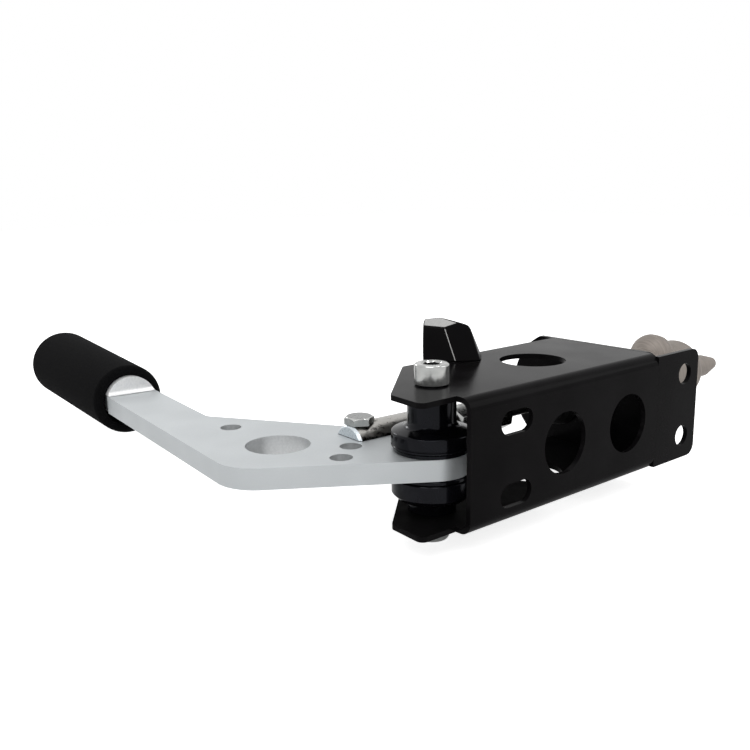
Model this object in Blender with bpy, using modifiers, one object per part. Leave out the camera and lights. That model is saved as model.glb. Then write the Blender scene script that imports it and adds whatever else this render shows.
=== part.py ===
"""Hydraulic parking brake lever: a flat lever turning on a pivot bolt in a folded channel.

The lever pushes a fork, a push rod and the piston of a master cylinder bolted to the channel's end.
Sizes are millimetres measured from the pivot: X along the channel, Y away from its web, Z along the
pivot bolt. The finished model stands on its lowest point, centred on the origin.
"""
import math

import bmesh
import bpy
from mathutils import Matrix, Vector

MM = 0.001
GAP = 0.3
SEGMENTS = 32
REACH = 30.0

# Channel folded from sheet
SHEET = 2.5
HALF_HEIGHT = 31.0
WEB_FACE = 32.2
FLANGE_BACK = 38.9
BEND_RADIUS = 6.0
WEB_LEFT = -7.5
WEB_RIGHT = 170.0
WEB_CORNER_RADIUS = 6.0
FLANGE_RIGHT = 132.7
TONGUE_HALF_HEIGHT = 29.5
EAR_LEFT = -28.0
EAR_FRONT = -23.3
EAR_CHAMFER_Y = -2.0
EAR_CHAMFER_X = 16.8
EAR_CORNER_RADIUS = 3.5
SLOT_LENGTH = 20.9
SLOT_WIDTH = 11.1
SLOT_X = 22.1
SLOT_HEIGHT = 17.0
WEB_ROW = -0.9
WEB_HOLE_RADIUS = 15.2
WEB_HOLES_X = (56.6, 106.7)
FIXING_X = 157.3
FIXING_HEIGHT = 17.3
FIXING_RADIUS = 5.8
FLANGE_HOLE_RADIUS = 16.7
FLANGE_HOLE = (75.6, 5.2)

# Plate that closes the channel and carries the cylinder
PLATE = 3.0
PLATE_ROUND_RADIUS = HALF_HEIGHT + 3.5
PLATE_ROUND_Y = 33.0
PLATE_CORNER_RADIUS = 7.0

# Block on the upper flange
BLOCK_FOOT = ((30.0, 38.8), (42.7, 27.5), (54.1, 21.1), (61.5, 27.0), (60.5, 38.0), (34.0, 38.6))
BLOCK_CROWN = (
    (34.49, 42.94, 48.88), (42.44, 35.37, 47.80), (49.96, 32.15, 49.93),
    (54.12, 29.31, 48.85), (44.21, 40.28, 52.84), (37.04, 45.07, 52.18),
)
BLOCK_EDGE = 0.6

# Pivot bolt and nut
BOLT_RADIUS = 4.9
BOLT_CLEARANCE = 0.3
BOLT_HEAD_RADIUS = 8.0
BOLT_HEAD_HEIGHT = 9.8
BOLT_SOCKET = 8.0
BOLT_SOCKET_DEPTH = 5.0
PIVOT_NUT_FLATS = 16.0
PIVOT_NUT_HEIGHT = 10.0
PIVOT_NUT_COLLAR = 2.6
THREAD_END = 1.5

# Lever
LEVER_THICKNESS = 10.0
LEVER_MIDDLE = -4.4
PIVOT_END_RADIUS = 17.4
FRONT_EDGE_ANGLE = 146.0
ARM_ANGLE = 84.3
ARM_WIDTH = 29.0
ARM_POINT = (-54.3, 202.0)
LOBE_RADIUS = 13.8
BACK_EDGE_ANGLE = 122.6
KNEE_RADIUS = 22.0
BACK_FILLET = 8.0
BIG_HOLE = (-48.8, 53.9)
BIG_HOLE_RADIUS = 15.5
SMALL_HOLES = ((-49.6, 95.5), (-38.9, 17.8), (-24.9, 28.6))
SMALL_HOLE_RADIUS = 5.3
BUSH_WALL = 1.8

# Spacers and washers on the pivot
WASHER = 1.7
WASHER_RADIUS = 18.0
SPACER_RADIUS = 18.8
SPACER_NECK = 11.3
UPPER_SHOULDER = 9.8
UPPER_NECK = 13.2
LOWER_RIM = 7.4
LOWER_CHAMFER = 3.2

# Grip
CORE_RADIUS = 15.0
GRIP_START = 3.0
GRIP_LENGTH = 148.5
GRIP_MOUTH_RADIUS = 20.6
GRIP_FAR_RADIUS = 22.4
GRIP_LIP = 5.0
GRIP_END_ROUND = 9.0
CORE_LENGTH = 132.0
RIVET_RADIUS = 2.5
RIVET_PLACES = tuple(CORE_LENGTH * share for share in (0.15, 0.5, 0.85))
RIVET_SINK = 1.2

# Fork, its bolt and the push rod
FORK_BOLT = (-10.5, 40.0)
FORK_RADIUS = 11.3
FORK_NOSE = 6.8
FORK_LENGTH = 45.0
FORK_SLOT = 20.5
FORK_FLAT = 10.7
FORK_SCREW_HEAD = 4.0
FORK_CHAMFER = 1.2
FORK_BOLT_RADIUS = 3.9
HEX_8_FLATS = 13.0
HEX_8_HEAD = 5.3
HEX_8_NUT = 6.5
LOCK_NUT = 5.0
ADJUSTER_START = 60.0
ADJUSTER_LENGTH = 38.0
ADJUSTER_FLATS = 17.0
ROD_RADIUS = 3.9
ROD_START = 25.0
BALL_RADIUS = 4.8
BALL_PLAY = 1.3
BALL_WRAP = 50.0

# Master cylinder
CYLINDER_Y = 33.5
BALL_X = 142.0
FLANGE_THICKNESS = 8.0
FLANGE_BOLT_SPACING = 57.0
FLANGE_EAR_RADIUS = 9.0
FLANGE_HUB_RADIUS = 21.0
BARREL_RADIUS = 15.5
CHEST_RADIUS = 18.4
CHEST_START = 208.0
CHEST_END = 240.0
NOSE_X = 262.0
NOSE_RADIUS = 10.5
SPIGOT_RADIUS = 12.7
SPIGOT_LENGTH = 5.0
BORE_RADIUS = 9.9
BORE_END = 240.0
COLLAR_RADIUS = 15.5
COLLAR_X = 219.0
COLLAR_WIDTH = 7.0
COLLAR_RISE = 11.1
OUTLET_DROP = 2.6
OUTLET_RADIUS = 7.3
OUTLET_TIP_RADIUS = 4.2
OUTLET_LENGTH = 39.0
OUTLET_PLAIN = 25.7
STROKE = 18.0

# Inside the cylinder
PISTON_CLEARANCE = 0.3
PISTON_LENGTH = 34.0
SEAL_WIDTH = 3.2
SEAL_DEPTH = 2.6
SPRING_WIRE = 0.9
SPRING_RADIUS = 7.2
SPRING_TURNS = 8
CLIP_WIDTH = 1.5

# Rubber boot
BOOT_LENGTH = 14.0
BOOT_NECK_RADIUS = 7.0
BOOT_WALL = 1.4
BOOT_FOLDS = 3
BOOT_FOLD_DEPTH = 2.2

LEVER_TOP = LEVER_MIDDLE + LEVER_THICKNESS / 2
LEVER_BOTTOM = LEVER_MIDDLE - LEVER_THICKNESS / 2
EAR_UNDERSIDE = HALF_HEIGHT - SHEET
PIVOT_BORE = BOLT_RADIUS + BOLT_CLEARANCE
PLATE_INSIDE = FLANGE_RIGHT + GAP
PLATE_OUTSIDE = PLATE_INSIDE + PLATE
FLANGE_FACE = PLATE_OUTSIDE + GAP
ROD_ANGLE = math.atan2(CYLINDER_Y - FORK_BOLT[1], BALL_X - FORK_BOLT[0])
ROD_LENGTH = math.hypot(CYLINDER_Y - FORK_BOLT[1], BALL_X - FORK_BOLT[0])
FLANGE_BOLTS_Y = tuple(CYLINDER_Y + side * FLANGE_BOLT_SPACING / 2 for side in (-1, 1))

PLANES = {
    "XY": Matrix.Identity(4),
    "YZ": Matrix(((0, 0, 1, 0), (1, 0, 0, 0), (0, 1, 0, 0), (0, 0, 0, 1))),
    "XZ": Matrix(((1, 0, 0, 0), (0, 0, -1, 0), (0, 1, 0, 0), (0, 0, 0, 1))),
}

MATERIALS = {
    "black_paint": ((0.013, 0.013, 0.014), 0.0, 0.35),
    "black_oxide": ((0.010, 0.010, 0.012), 0.6, 0.3),
    "brushed_aluminium": ((0.60, 0.62, 0.63), 1.0, 0.4),
    "zinc_steel": ((0.55, 0.55, 0.52), 1.0, 0.3),
    "turned_steel": ((0.42, 0.40, 0.38), 1.0, 0.35),
    "cast_alloy": ((0.27, 0.24, 0.22), 0.7, 0.6),
    "bronze": ((0.50, 0.28, 0.10), 1.0, 0.4),
    "foam": ((0.009, 0.009, 0.010), 0.0, 0.95),
    "rubber": ((0.012, 0.012, 0.012), 0.0, 0.7),
}


def clear_scene():
    for item in list(bpy.data.objects):
        bpy.data.objects.remove(item, do_unlink=True)


def collection(name):
    made = bpy.data.collections.new(name)
    bpy.context.scene.collection.children.link(made)
    return made


def make_materials():
    for name, (colour, metallic, roughness) in MATERIALS.items():
        made = bpy.data.materials.new(name)
        made.use_nodes = True
        shader = made.node_tree.nodes["Principled BSDF"]
        shader.inputs["Base Color"].default_value = (*colour, 1.0)
        shader.inputs["Metallic"].default_value = metallic
        shader.inputs["Roughness"].default_value = roughness


clear_scene()
PARTS = collection("parking_brake_lever")
CUTTERS = collection("cutters")
make_materials()


def polar(centre, radius, degrees):
    angle = math.radians(degrees)
    return (centre[0] + radius * math.cos(angle), centre[1] + radius * math.sin(angle))


def arc(centre, radius, start, end, steps=10):
    """Points on an arc from one angle to another, both in degrees and both included."""
    return [polar(centre, radius, start + (end - start) * k / steps) for k in range(steps + 1)]


def circle(centre, radius, segments=SEGMENTS):
    return [polar(centre, radius, 360 * k / segments) for k in range(segments)]


def hexagon(centre, flats):
    return [polar(centre, flats / math.sqrt(3), 60 * k + 30) for k in range(6)]


def rounded(corners, steps=6):
    """An outline from (x, y, radius) corners, each replaced by a tangent arc."""
    outline = []
    for k, (x, y, radius) in enumerate(corners):
        here = Vector((x, y))
        back = (Vector(corners[k - 1][:2]) - here).normalized()
        ahead = (Vector(corners[(k + 1) % len(corners)][:2]) - here).normalized()
        if radius <= 0:
            outline.append((x, y))
            continue
        half = back.angle(ahead) / 2
        first = here + back * (radius / math.tan(half))
        last = here + ahead * (radius / math.tan(half))
        middle = here + (back + ahead).normalized() * (radius / math.sin(half))
        start = (first - middle).angle_signed(Vector((1, 0)))
        turn = (last - middle).angle_signed(first - middle)
        for step in range(steps + 1):
            angle = start + turn * step / steps
            outline.append((middle.x + radius * math.cos(angle), middle.y + radius * math.sin(angle)))
    return outline


def crossing(point, degrees, other, other_degrees):
    """Where two lines meet, each given by a point and a direction."""
    a = Vector(polar((0, 0), 1, degrees))
    b = Vector(polar((0, 0), 1, other_degrees))
    offset = Vector(other) - Vector(point)
    along = (offset.x * b.y - offset.y * b.x) / (a.x * b.y - a.y * b.x)
    return (point[0] + a.x * along, point[1] + a.y * along)


def keep(item, group, material=None):
    """Puts a finished object in its collection and gives it its material."""
    for owner in list(item.users_collection):
        owner.objects.unlink(item)
    group.objects.link(item)
    if material:
        item.data.materials.append(bpy.data.materials[material])
    else:
        item.hide_render = True
        item.display_type = "WIRE"
    return item


def prism(name, outline, low, high, plane="XY", holes=(), material=None):
    """A flat outline extruded from low to high along the axis that the plane leaves."""
    if plane == "XZ":
        low, high = -high, -low
    curve = bpy.data.curves.new(name, "CURVE")
    curve.dimensions = "2D"
    curve.fill_mode = "BOTH"
    curve.extrude = (high - low) / 2 * MM
    for ring in (outline, *holes):
        spline = curve.splines.new("POLY")
        spline.points.add(len(ring) - 1)
        for point, (x, y) in zip(spline.points, ring):
            point.co = (x * MM, y * MM, 0, 1)
        spline.use_cyclic_u = True
    drawn = bpy.data.objects.new(name + "_outline", curve)
    PARTS.objects.link(drawn)
    drawn.matrix_world = PLANES[plane] @ Matrix.Translation((0, 0, (low + high) / 2 * MM))
    bpy.context.view_layer.update()
    mesh = bpy.data.meshes.new_from_object(drawn.evaluated_get(bpy.context.evaluated_depsgraph_get()))
    weld(mesh)
    made = bpy.data.objects.new(name, mesh)
    made.matrix_world = drawn.matrix_world.copy()
    bpy.data.objects.remove(drawn, do_unlink=True)
    return keep(made, PARTS if material else CUTTERS, material)


def weld(mesh):
    cage = bmesh.new()
    cage.from_mesh(mesh)
    bmesh.ops.remove_doubles(cage, verts=cage.verts, dist=1e-6)
    bmesh.ops.recalc_face_normals(cage, faces=cage.faces)
    cage.to_mesh(mesh)
    cage.free()


def turned(name, profile, place, material=None, segments=SEGMENTS, closed=False):
    """A profile of (radius, height) points, top to bottom, turned round the local Z axis of place."""
    mesh = bpy.data.meshes.new(name)
    cage = bmesh.new()
    verts = [cage.verts.new((radius * MM, 0, height * MM)) for radius, height in profile]
    for first, second in zip(verts, verts[1:]):
        cage.edges.new((first, second))
    if closed:
        cage.edges.new((verts[-1], verts[0]))
    cage.to_mesh(mesh)
    cage.free()
    made = bpy.data.objects.new(name, mesh)
    made.matrix_world = place
    screw = made.modifiers.new("turn", "SCREW")
    screw.axis = "Z"
    screw.angle = math.tau
    screw.steps = segments
    screw.render_steps = segments
    screw.use_merge_vertices = True
    screw.merge_threshold = 1e-6
    screw.use_smooth_shade = False
    return keep(made, PARTS if material else CUTTERS, material)


def rod(name, place, radius, low, high, material=None, segments=SEGMENTS):
    """A plain cylinder from low to high on the local Z axis of place."""
    profile = ((0, high), (radius, high), (radius, low), (0, low))
    return turned(name, profile, place, material, segments)


def ring(name, place, inner, outer, low, high, material=None):
    profile = ((inner, high), (outer, high), (outer, low), (inner, low))
    return turned(name, profile, place, material, closed=True)


def combine(target, tool, operation):
    change = target.modifiers.new(operation.lower(), "BOOLEAN")
    change.operation = operation
    change.solver = "EXACT"
    change.object = tool


def cut(target, *tools):
    for tool in tools:
        combine(target, tool, "DIFFERENCE")


def join(target, *tools):
    for tool in tools:
        combine(target, tool, "UNION")


def at(x=0, y=0, z=0):
    """A place whose local Z points up."""
    return Matrix.Translation((x * MM, y * MM, z * MM))


def along_x(y, z):
    """A place whose local Z points along X."""
    return at(0, y, z) @ PLANES["YZ"]


def on_rod():
    """The fork bolt's centre, with local Z along the push rod."""
    turn = Matrix.Rotation(ROD_ANGLE, 4, "Z")
    return at(FORK_BOLT[0], FORK_BOLT[1], LEVER_MIDDLE) @ turn @ PLANES["YZ"]


def on_grip():
    """The grip's mouth, with local Z along the arm and local Y up."""
    turn = Matrix.Rotation(math.radians(ARM_ANGLE), 4, "Z")
    return at(ARM_POINT[0], ARM_POINT[1], LEVER_MIDDLE) @ turn @ PLANES["YZ"]


def place(item, matrix):
    item.matrix_world = matrix @ item.matrix_world
    return item


def channel_section():
    """The channel's cross-section in Y and Z, with round bends."""
    bend = -WEB_FACE + BEND_RADIUS
    high = HALF_HEIGHT - BEND_RADIUS
    inner = BEND_RADIUS - SHEET
    outside = [(FLANGE_BACK, HALF_HEIGHT)]
    outside += arc((bend, high), BEND_RADIUS, 90, 180)
    outside += arc((bend, -high), BEND_RADIUS, 180, 270)
    outside += [(FLANGE_BACK, -HALF_HEIGHT), (FLANGE_BACK, -EAR_UNDERSIDE)]
    inside = arc((bend, -high), inner, 270, 180)
    inside += arc((bend, high), inner, 180, 90)
    return outside + inside + [(FLANGE_BACK, EAR_UNDERSIDE)]


def channel_plan():
    """The channel's outline seen along the pivot: ears at the left, end edge at the right."""
    return rounded((
        (EAR_LEFT, EAR_FRONT, EAR_CORNER_RADIUS),
        (WEB_LEFT, EAR_FRONT, 0),
        (WEB_LEFT, -WEB_FACE - 5, 0),
        (FLANGE_RIGHT, -WEB_FACE - 5, 0),
        (FLANGE_RIGHT, FLANGE_BACK, 0),
        (EAR_CHAMFER_X, FLANGE_BACK, EAR_CORNER_RADIUS),
        (EAR_LEFT + 1.5, EAR_CHAMFER_Y, EAR_CORNER_RADIUS),
    ))


def build_channel():
    body = prism("channel_bracket", channel_section(), EAR_LEFT - 5, FLANGE_RIGHT + 5, "YZ",
                 material="black_paint")
    combine(body, prism("plan", channel_plan(), -HALF_HEIGHT - 5, HALF_HEIGHT + 5), "INTERSECT")
    tongue = rounded((
        (FLANGE_RIGHT - 1, -TONGUE_HALF_HEIGHT, 0),
        (WEB_RIGHT, -TONGUE_HALF_HEIGHT, WEB_CORNER_RADIUS),
        (WEB_RIGHT, TONGUE_HALF_HEIGHT, WEB_CORNER_RADIUS),
        (FLANGE_RIGHT - 1, TONGUE_HALF_HEIGHT, 0),
    ))
    join(body, prism("tongue", tongue, -WEB_FACE, -WEB_FACE + SHEET, "XZ"))
    web = (-WEB_FACE - 2, -WEB_FACE + SHEET + 2)
    half = (SLOT_LENGTH - SLOT_WIDTH) / 2
    for k, side in enumerate((1, -1)):
        height = WEB_ROW + side * SLOT_HEIGHT
        slot = arc((SLOT_X + half, height), SLOT_WIDTH / 2, -90, 90, 12)
        slot += arc((SLOT_X - half, height), SLOT_WIDTH / 2, 90, 270, 12)
        cut(body, prism("slot_%d" % k, slot, *web, "XZ"))
        hole = circle((FIXING_X, side * FIXING_HEIGHT), FIXING_RADIUS, 24)
        cut(body, prism("fixing_%d" % k, hole, *web, "XZ"))
    for k, x in enumerate(WEB_HOLES_X):
        cut(body, prism("web_hole_%d" % k, circle((x, WEB_ROW), WEB_HOLE_RADIUS), *web, "XZ"))
    reach = HALF_HEIGHT + 2
    cut(body, prism("flange_hole", circle(FLANGE_HOLE, FLANGE_HOLE_RADIUS), -reach, reach))
    cut(body, rod("ear_hole", at(), PIVOT_BORE, -reach, reach, segments=24))


def build_end_plate():
    centre = (PLATE_ROUND_Y, 0)
    lean = math.degrees(math.asin(HALF_HEIGHT / PLATE_ROUND_RADIUS))
    front = -WEB_FACE + SHEET + GAP
    outline = arc(centre, PLATE_ROUND_RADIUS, -lean, lean, 20)
    outline += arc((front + PLATE_CORNER_RADIUS, HALF_HEIGHT - PLATE_CORNER_RADIUS),
                   PLATE_CORNER_RADIUS, 90, 180, 6)
    outline += arc((front + PLATE_CORNER_RADIUS, -HALF_HEIGHT + PLATE_CORNER_RADIUS),
                   PLATE_CORNER_RADIUS, 180, 270, 6)
    holes = [circle((CYLINDER_Y, LEVER_MIDDLE), SPIGOT_RADIUS + GAP)]
    holes += [circle((y, LEVER_MIDDLE), FORK_BOLT_RADIUS + GAP, 20) for y in FLANGE_BOLTS_Y]
    prism("end_plate", outline, PLATE_INSIDE, PLATE_OUTSIDE, "YZ", holes, "black_paint")


def build_stop_block():
    mesh = bpy.data.meshes.new("stop_block")
    cage = bmesh.new()
    base = HALF_HEIGHT + GAP
    for x, y in BLOCK_FOOT:
        cage.verts.new((x * MM, y * MM, base * MM))
    for x, y, z in BLOCK_CROWN:
        cage.verts.new((x * MM, y * MM, z * MM))
    bmesh.ops.convex_hull(cage, input=cage.verts)
    bmesh.ops.dissolve_limit(cage, angle_limit=math.radians(2), verts=cage.verts, edges=cage.edges)
    bmesh.ops.recalc_face_normals(cage, faces=cage.faces)
    cage.to_mesh(mesh)
    cage.free()
    block = keep(bpy.data.objects.new("stop_block", mesh), PARTS, "black_paint")
    edge = block.modifiers.new("edges", "BEVEL")
    edge.width = BLOCK_EDGE * MM
    edge.segments = 2


def build_pivot():
    base = HALF_HEIGHT + GAP
    top = base + BOLT_HEAD_HEIGHT
    end = -HALF_HEIGHT - GAP - PIVOT_NUT_HEIGHT - THREAD_END
    chamfer = 0.7
    bolt = turned("pivot_bolt", (
        (0, top), (BOLT_HEAD_RADIUS - chamfer, top), (BOLT_HEAD_RADIUS, top - chamfer),
        (BOLT_HEAD_RADIUS, base), (BOLT_RADIUS, base), (BOLT_RADIUS, end + chamfer),
        (BOLT_RADIUS - chamfer, end), (0, end)), at(), "zinc_steel")
    cut(bolt, prism("pivot_socket", hexagon((0, 0), BOLT_SOCKET), top - BOLT_SOCKET_DEPTH, top + 1))
    nut_top = -HALF_HEIGHT - GAP
    collar = nut_top - PIVOT_NUT_HEIGHT
    nut = prism("pivot_nut", hexagon((0, 0), PIVOT_NUT_FLATS), collar + PIVOT_NUT_COLLAR, nut_top,
                holes=(circle((0, 0), PIVOT_BORE, 24),), material="zinc_steel")
    join(nut, ring("pivot_nut_collar", at(), PIVOT_BORE, PIVOT_NUT_FLATS / 2 - 0.9, collar,
                   collar + PIVOT_NUT_COLLAR + 0.5))
    ring("pivot_bush", at(), PIVOT_BORE, PIVOT_BORE + BUSH_WALL, LEVER_BOTTOM, LEVER_TOP, "bronze")
    low = LEVER_TOP + GAP
    ring("upper_thrust_washer", at(), PIVOT_BORE, WASHER_RADIUS, low, low + WASHER, "black_oxide")
    foot = low + WASHER + GAP
    shoulder = LEVER_TOP + UPPER_SHOULDER
    neck = LEVER_TOP + UPPER_NECK
    roof = EAR_UNDERSIDE - GAP
    turned("upper_spacer", (
        (PIVOT_BORE, roof), (SPACER_NECK, roof), (SPACER_NECK, neck + 1.4), (SPACER_NECK + 0.5, neck),
        (SPACER_NECK + 2.4, neck - 1.6), (SPACER_RADIUS - 1.2, shoulder),
        (SPACER_RADIUS, shoulder - 1.2), (SPACER_RADIUS, foot), (PIVOT_BORE, foot)),
        at(), "black_oxide", closed=True)
    high = LEVER_BOTTOM - GAP
    ring("lower_thrust_washer", at(), PIVOT_BORE, WASHER_RADIUS, high - WASHER, high, "black_oxide")
    head = high - WASHER - GAP
    rim = head - LOWER_RIM
    turned("lower_spacer", (
        (PIVOT_BORE, head), (SPACER_RADIUS, head), (SPACER_RADIUS, rim),
        (SPACER_RADIUS - LOWER_CHAMFER, rim - LOWER_CHAMFER), (SPACER_NECK + 0.4, rim - LOWER_CHAMFER),
        (SPACER_NECK, rim - LOWER_CHAMFER - 0.6), (SPACER_NECK, -roof), (PIVOT_BORE, -roof)),
        at(), "black_oxide", closed=True)


def lever_outline():
    """Round pivot end, lobe for the fork bolt, back edge, arm, knee and straight front edge."""
    half = ARM_WIDTH / 2
    side = Vector(polar((0, 0), half, ARM_ANGLE - 90))
    along = Vector(polar((0, 0), CORE_LENGTH, ARM_ANGLE))
    mouth = Vector(ARM_POINT)
    front_normal = FRONT_EDGE_ANGLE + 90
    front_point = polar((0, 0), PIVOT_END_RADIUS, front_normal)
    back_normal = BACK_EDGE_ANGLE - 90
    back_point = polar(FORK_BOLT, LOBE_RADIUS, back_normal)
    knee = crossing(front_point, FRONT_EDGE_ANGLE, mouth - side, ARM_ANGLE)
    inner = crossing(back_point, BACK_EDGE_ANGLE, mouth + side, ARM_ANGLE)
    distance = math.hypot(*FORK_BOLT)
    lean = math.degrees(math.acos((PIVOT_END_RADIUS - LOBE_RADIUS) / distance))
    tangent = math.degrees(math.atan2(FORK_BOLT[1], FORK_BOLT[0])) - lean
    tongue = side * (math.sqrt(half ** 2 - (LEVER_THICKNESS / 2) ** 2) - GAP) / half
    step = mouth - Vector(polar((0, 0), GAP * 2, ARM_ANGLE))
    outline = arc((0, 0), PIVOT_END_RADIUS, front_normal - 360, tangent, 20)
    outline += arc(FORK_BOLT, LOBE_RADIUS, tangent, back_normal, 4)
    arm = rounded((
        (*back_point, 0), (*inner, BACK_FILLET), (*(step + side), 0), (*(step + tongue), 0),
        (*(mouth + tongue + along), 3), (*(mouth - tongue + along), 3), (*(step - tongue), 0),
        (*(step - side), 0), (*knee, KNEE_RADIUS), (*front_point, 0)), 8)
    return outline + arm[1:-1]


def build_lever():
    holes = [circle(BIG_HOLE, BIG_HOLE_RADIUS)]
    holes += [circle(spot, SMALL_HOLE_RADIUS, 24) for spot in SMALL_HOLES]
    holes.append(circle(FORK_BOLT, FORK_BOLT_RADIUS + GAP, 20))
    holes.append(circle((0, 0), PIVOT_BORE + BUSH_WALL + GAP, 32))
    holes += [circle(polar(ARM_POINT, s, ARM_ANGLE), RIVET_RADIUS + GAP, 16) for s in RIVET_PLACES]
    prism("lever_plate", lever_outline(), LEVER_BOTTOM, LEVER_TOP, holes=holes,
          material="brushed_aluminium")


def cheek_section():
    """The part of the round core that lies on one side of the lever."""
    low = LEVER_THICKNESS / 2 + GAP
    edge = math.degrees(math.asin(low / CORE_RADIUS))
    return arc((0, 0), CORE_RADIUS, edge, 180 - edge, 16)


def build_grip():
    for name, side in (("upper_grip_cheek", 1), ("lower_grip_cheek", -1)):
        section = [(x, side * y) for x, y in cheek_section()][::side]
        cheek = prism(name, section, 0, CORE_LENGTH, material="brushed_aluminium")
        place(cheek, on_grip())
        for k, s in enumerate(RIVET_PLACES):
            spot = polar(ARM_POINT, s, ARM_ANGLE)
            cut(cheek, rod("%s_hole_%d" % (name, k), at(*spot), RIVET_RADIUS + GAP, -REACH, REACH, segments=16))
    reach = CORE_RADIUS - RIVET_SINK
    for k, s in enumerate(RIVET_PLACES):
        spot = polar(ARM_POINT, s, ARM_ANGLE)
        rod("grip_rivet_%d" % (k + 1), at(*spot, LEVER_MIDDLE), RIVET_RADIUS, -reach, reach, "zinc_steel", 16)
    bore = CORE_RADIUS + GAP
    far = GRIP_START + GRIP_LENGTH
    lip = arc((GRIP_MOUTH_RADIUS - GRIP_LIP, GRIP_START + GRIP_LIP), GRIP_LIP, 0, -90, 5)
    end = arc((GRIP_FAR_RADIUS - GRIP_END_ROUND, far - GRIP_END_ROUND), GRIP_END_ROUND, 90, 0, 6)
    floor = CORE_LENGTH + GAP
    profile = [(0, far)] + end + lip + [(bore, GRIP_START), (bore, floor), (0, floor)]
    turned("foam_grip", profile, on_grip(), "foam")


def build_fork():
    here = on_rod()
    nose = -FORK_NOSE
    end = FORK_LENGTH
    radius = FORK_RADIUS
    fork = turned("clevis_fork", (
        (0, end), (radius - FORK_CHAMFER, end), (radius, end - FORK_CHAMFER),
        (radius, nose + FORK_CHAMFER), (radius - FORK_CHAMFER, nose), (0, nose)), here, "turned_steel")
    thick = LEVER_THICKNESS / 2 + GAP
    slot = ((-REACH, -thick), (REACH, -thick), (REACH, thick), (-REACH, thick))
    cut(fork, place(prism("fork_slot", slot, nose - 5, FORK_SLOT), here))
    cut(fork, rod("fork_bore", here, ROD_RADIUS + GAP, FORK_SLOT - 1, end + 1, segments=20))
    spot = at(*FORK_BOLT, LEVER_MIDDLE)
    cut(fork, rod("fork_cross_hole", spot, FORK_BOLT_RADIUS + GAP, -REACH, REACH, segments=20))
    cut(fork, rod("spot_face_top", spot, FORK_RADIUS - 2, FORK_FLAT, REACH, segments=24))
    cut(fork, rod("spot_face_bottom", spot, FORK_RADIUS - 2, -REACH, -FORK_FLAT, segments=24))
    base = LEVER_MIDDLE + FORK_FLAT + GAP
    nut_top = LEVER_MIDDLE - FORK_FLAT - GAP
    bolt = prism("clevis_bolt", hexagon(FORK_BOLT, HEX_8_FLATS), base, base + FORK_SCREW_HEAD,
                 material="zinc_steel")
    join(bolt, rod("clevis_bolt_shank", at(*FORK_BOLT), FORK_BOLT_RADIUS, nut_top - HEX_8_NUT - THREAD_END,
                   base + 1, segments=20))
    prism("clevis_nut", hexagon(FORK_BOLT, HEX_8_FLATS), nut_top - HEX_8_NUT, nut_top,
          holes=(circle(FORK_BOLT, FORK_BOLT_RADIUS + GAP, 20),), material="zinc_steel")
    for name, flats, start, length in (
            ("fork_lock_nut", HEX_8_FLATS, FORK_LENGTH + GAP, LOCK_NUT),
            ("rod_adjuster", ADJUSTER_FLATS, ADJUSTER_START, ADJUSTER_LENGTH)):
        nut = prism(name, hexagon((0, 0), flats), start, start + length,
                    holes=(circle((0, 0), ROD_RADIUS + GAP, 20),), material="zinc_steel")
        place(nut, here)
    ball = [(r, ROD_LENGTH + h) for r, h in arc((0, 0), BALL_RADIUS, 90, -BALL_WRAP, 10)]
    turned("push_rod", ball + [(ROD_RADIUS - 0.9, ROD_LENGTH - 5.5), (ROD_RADIUS, ROD_LENGTH - 7),
                               (ROD_RADIUS, ROD_START), (0, ROD_START)], here, "black_oxide", 24)


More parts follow.
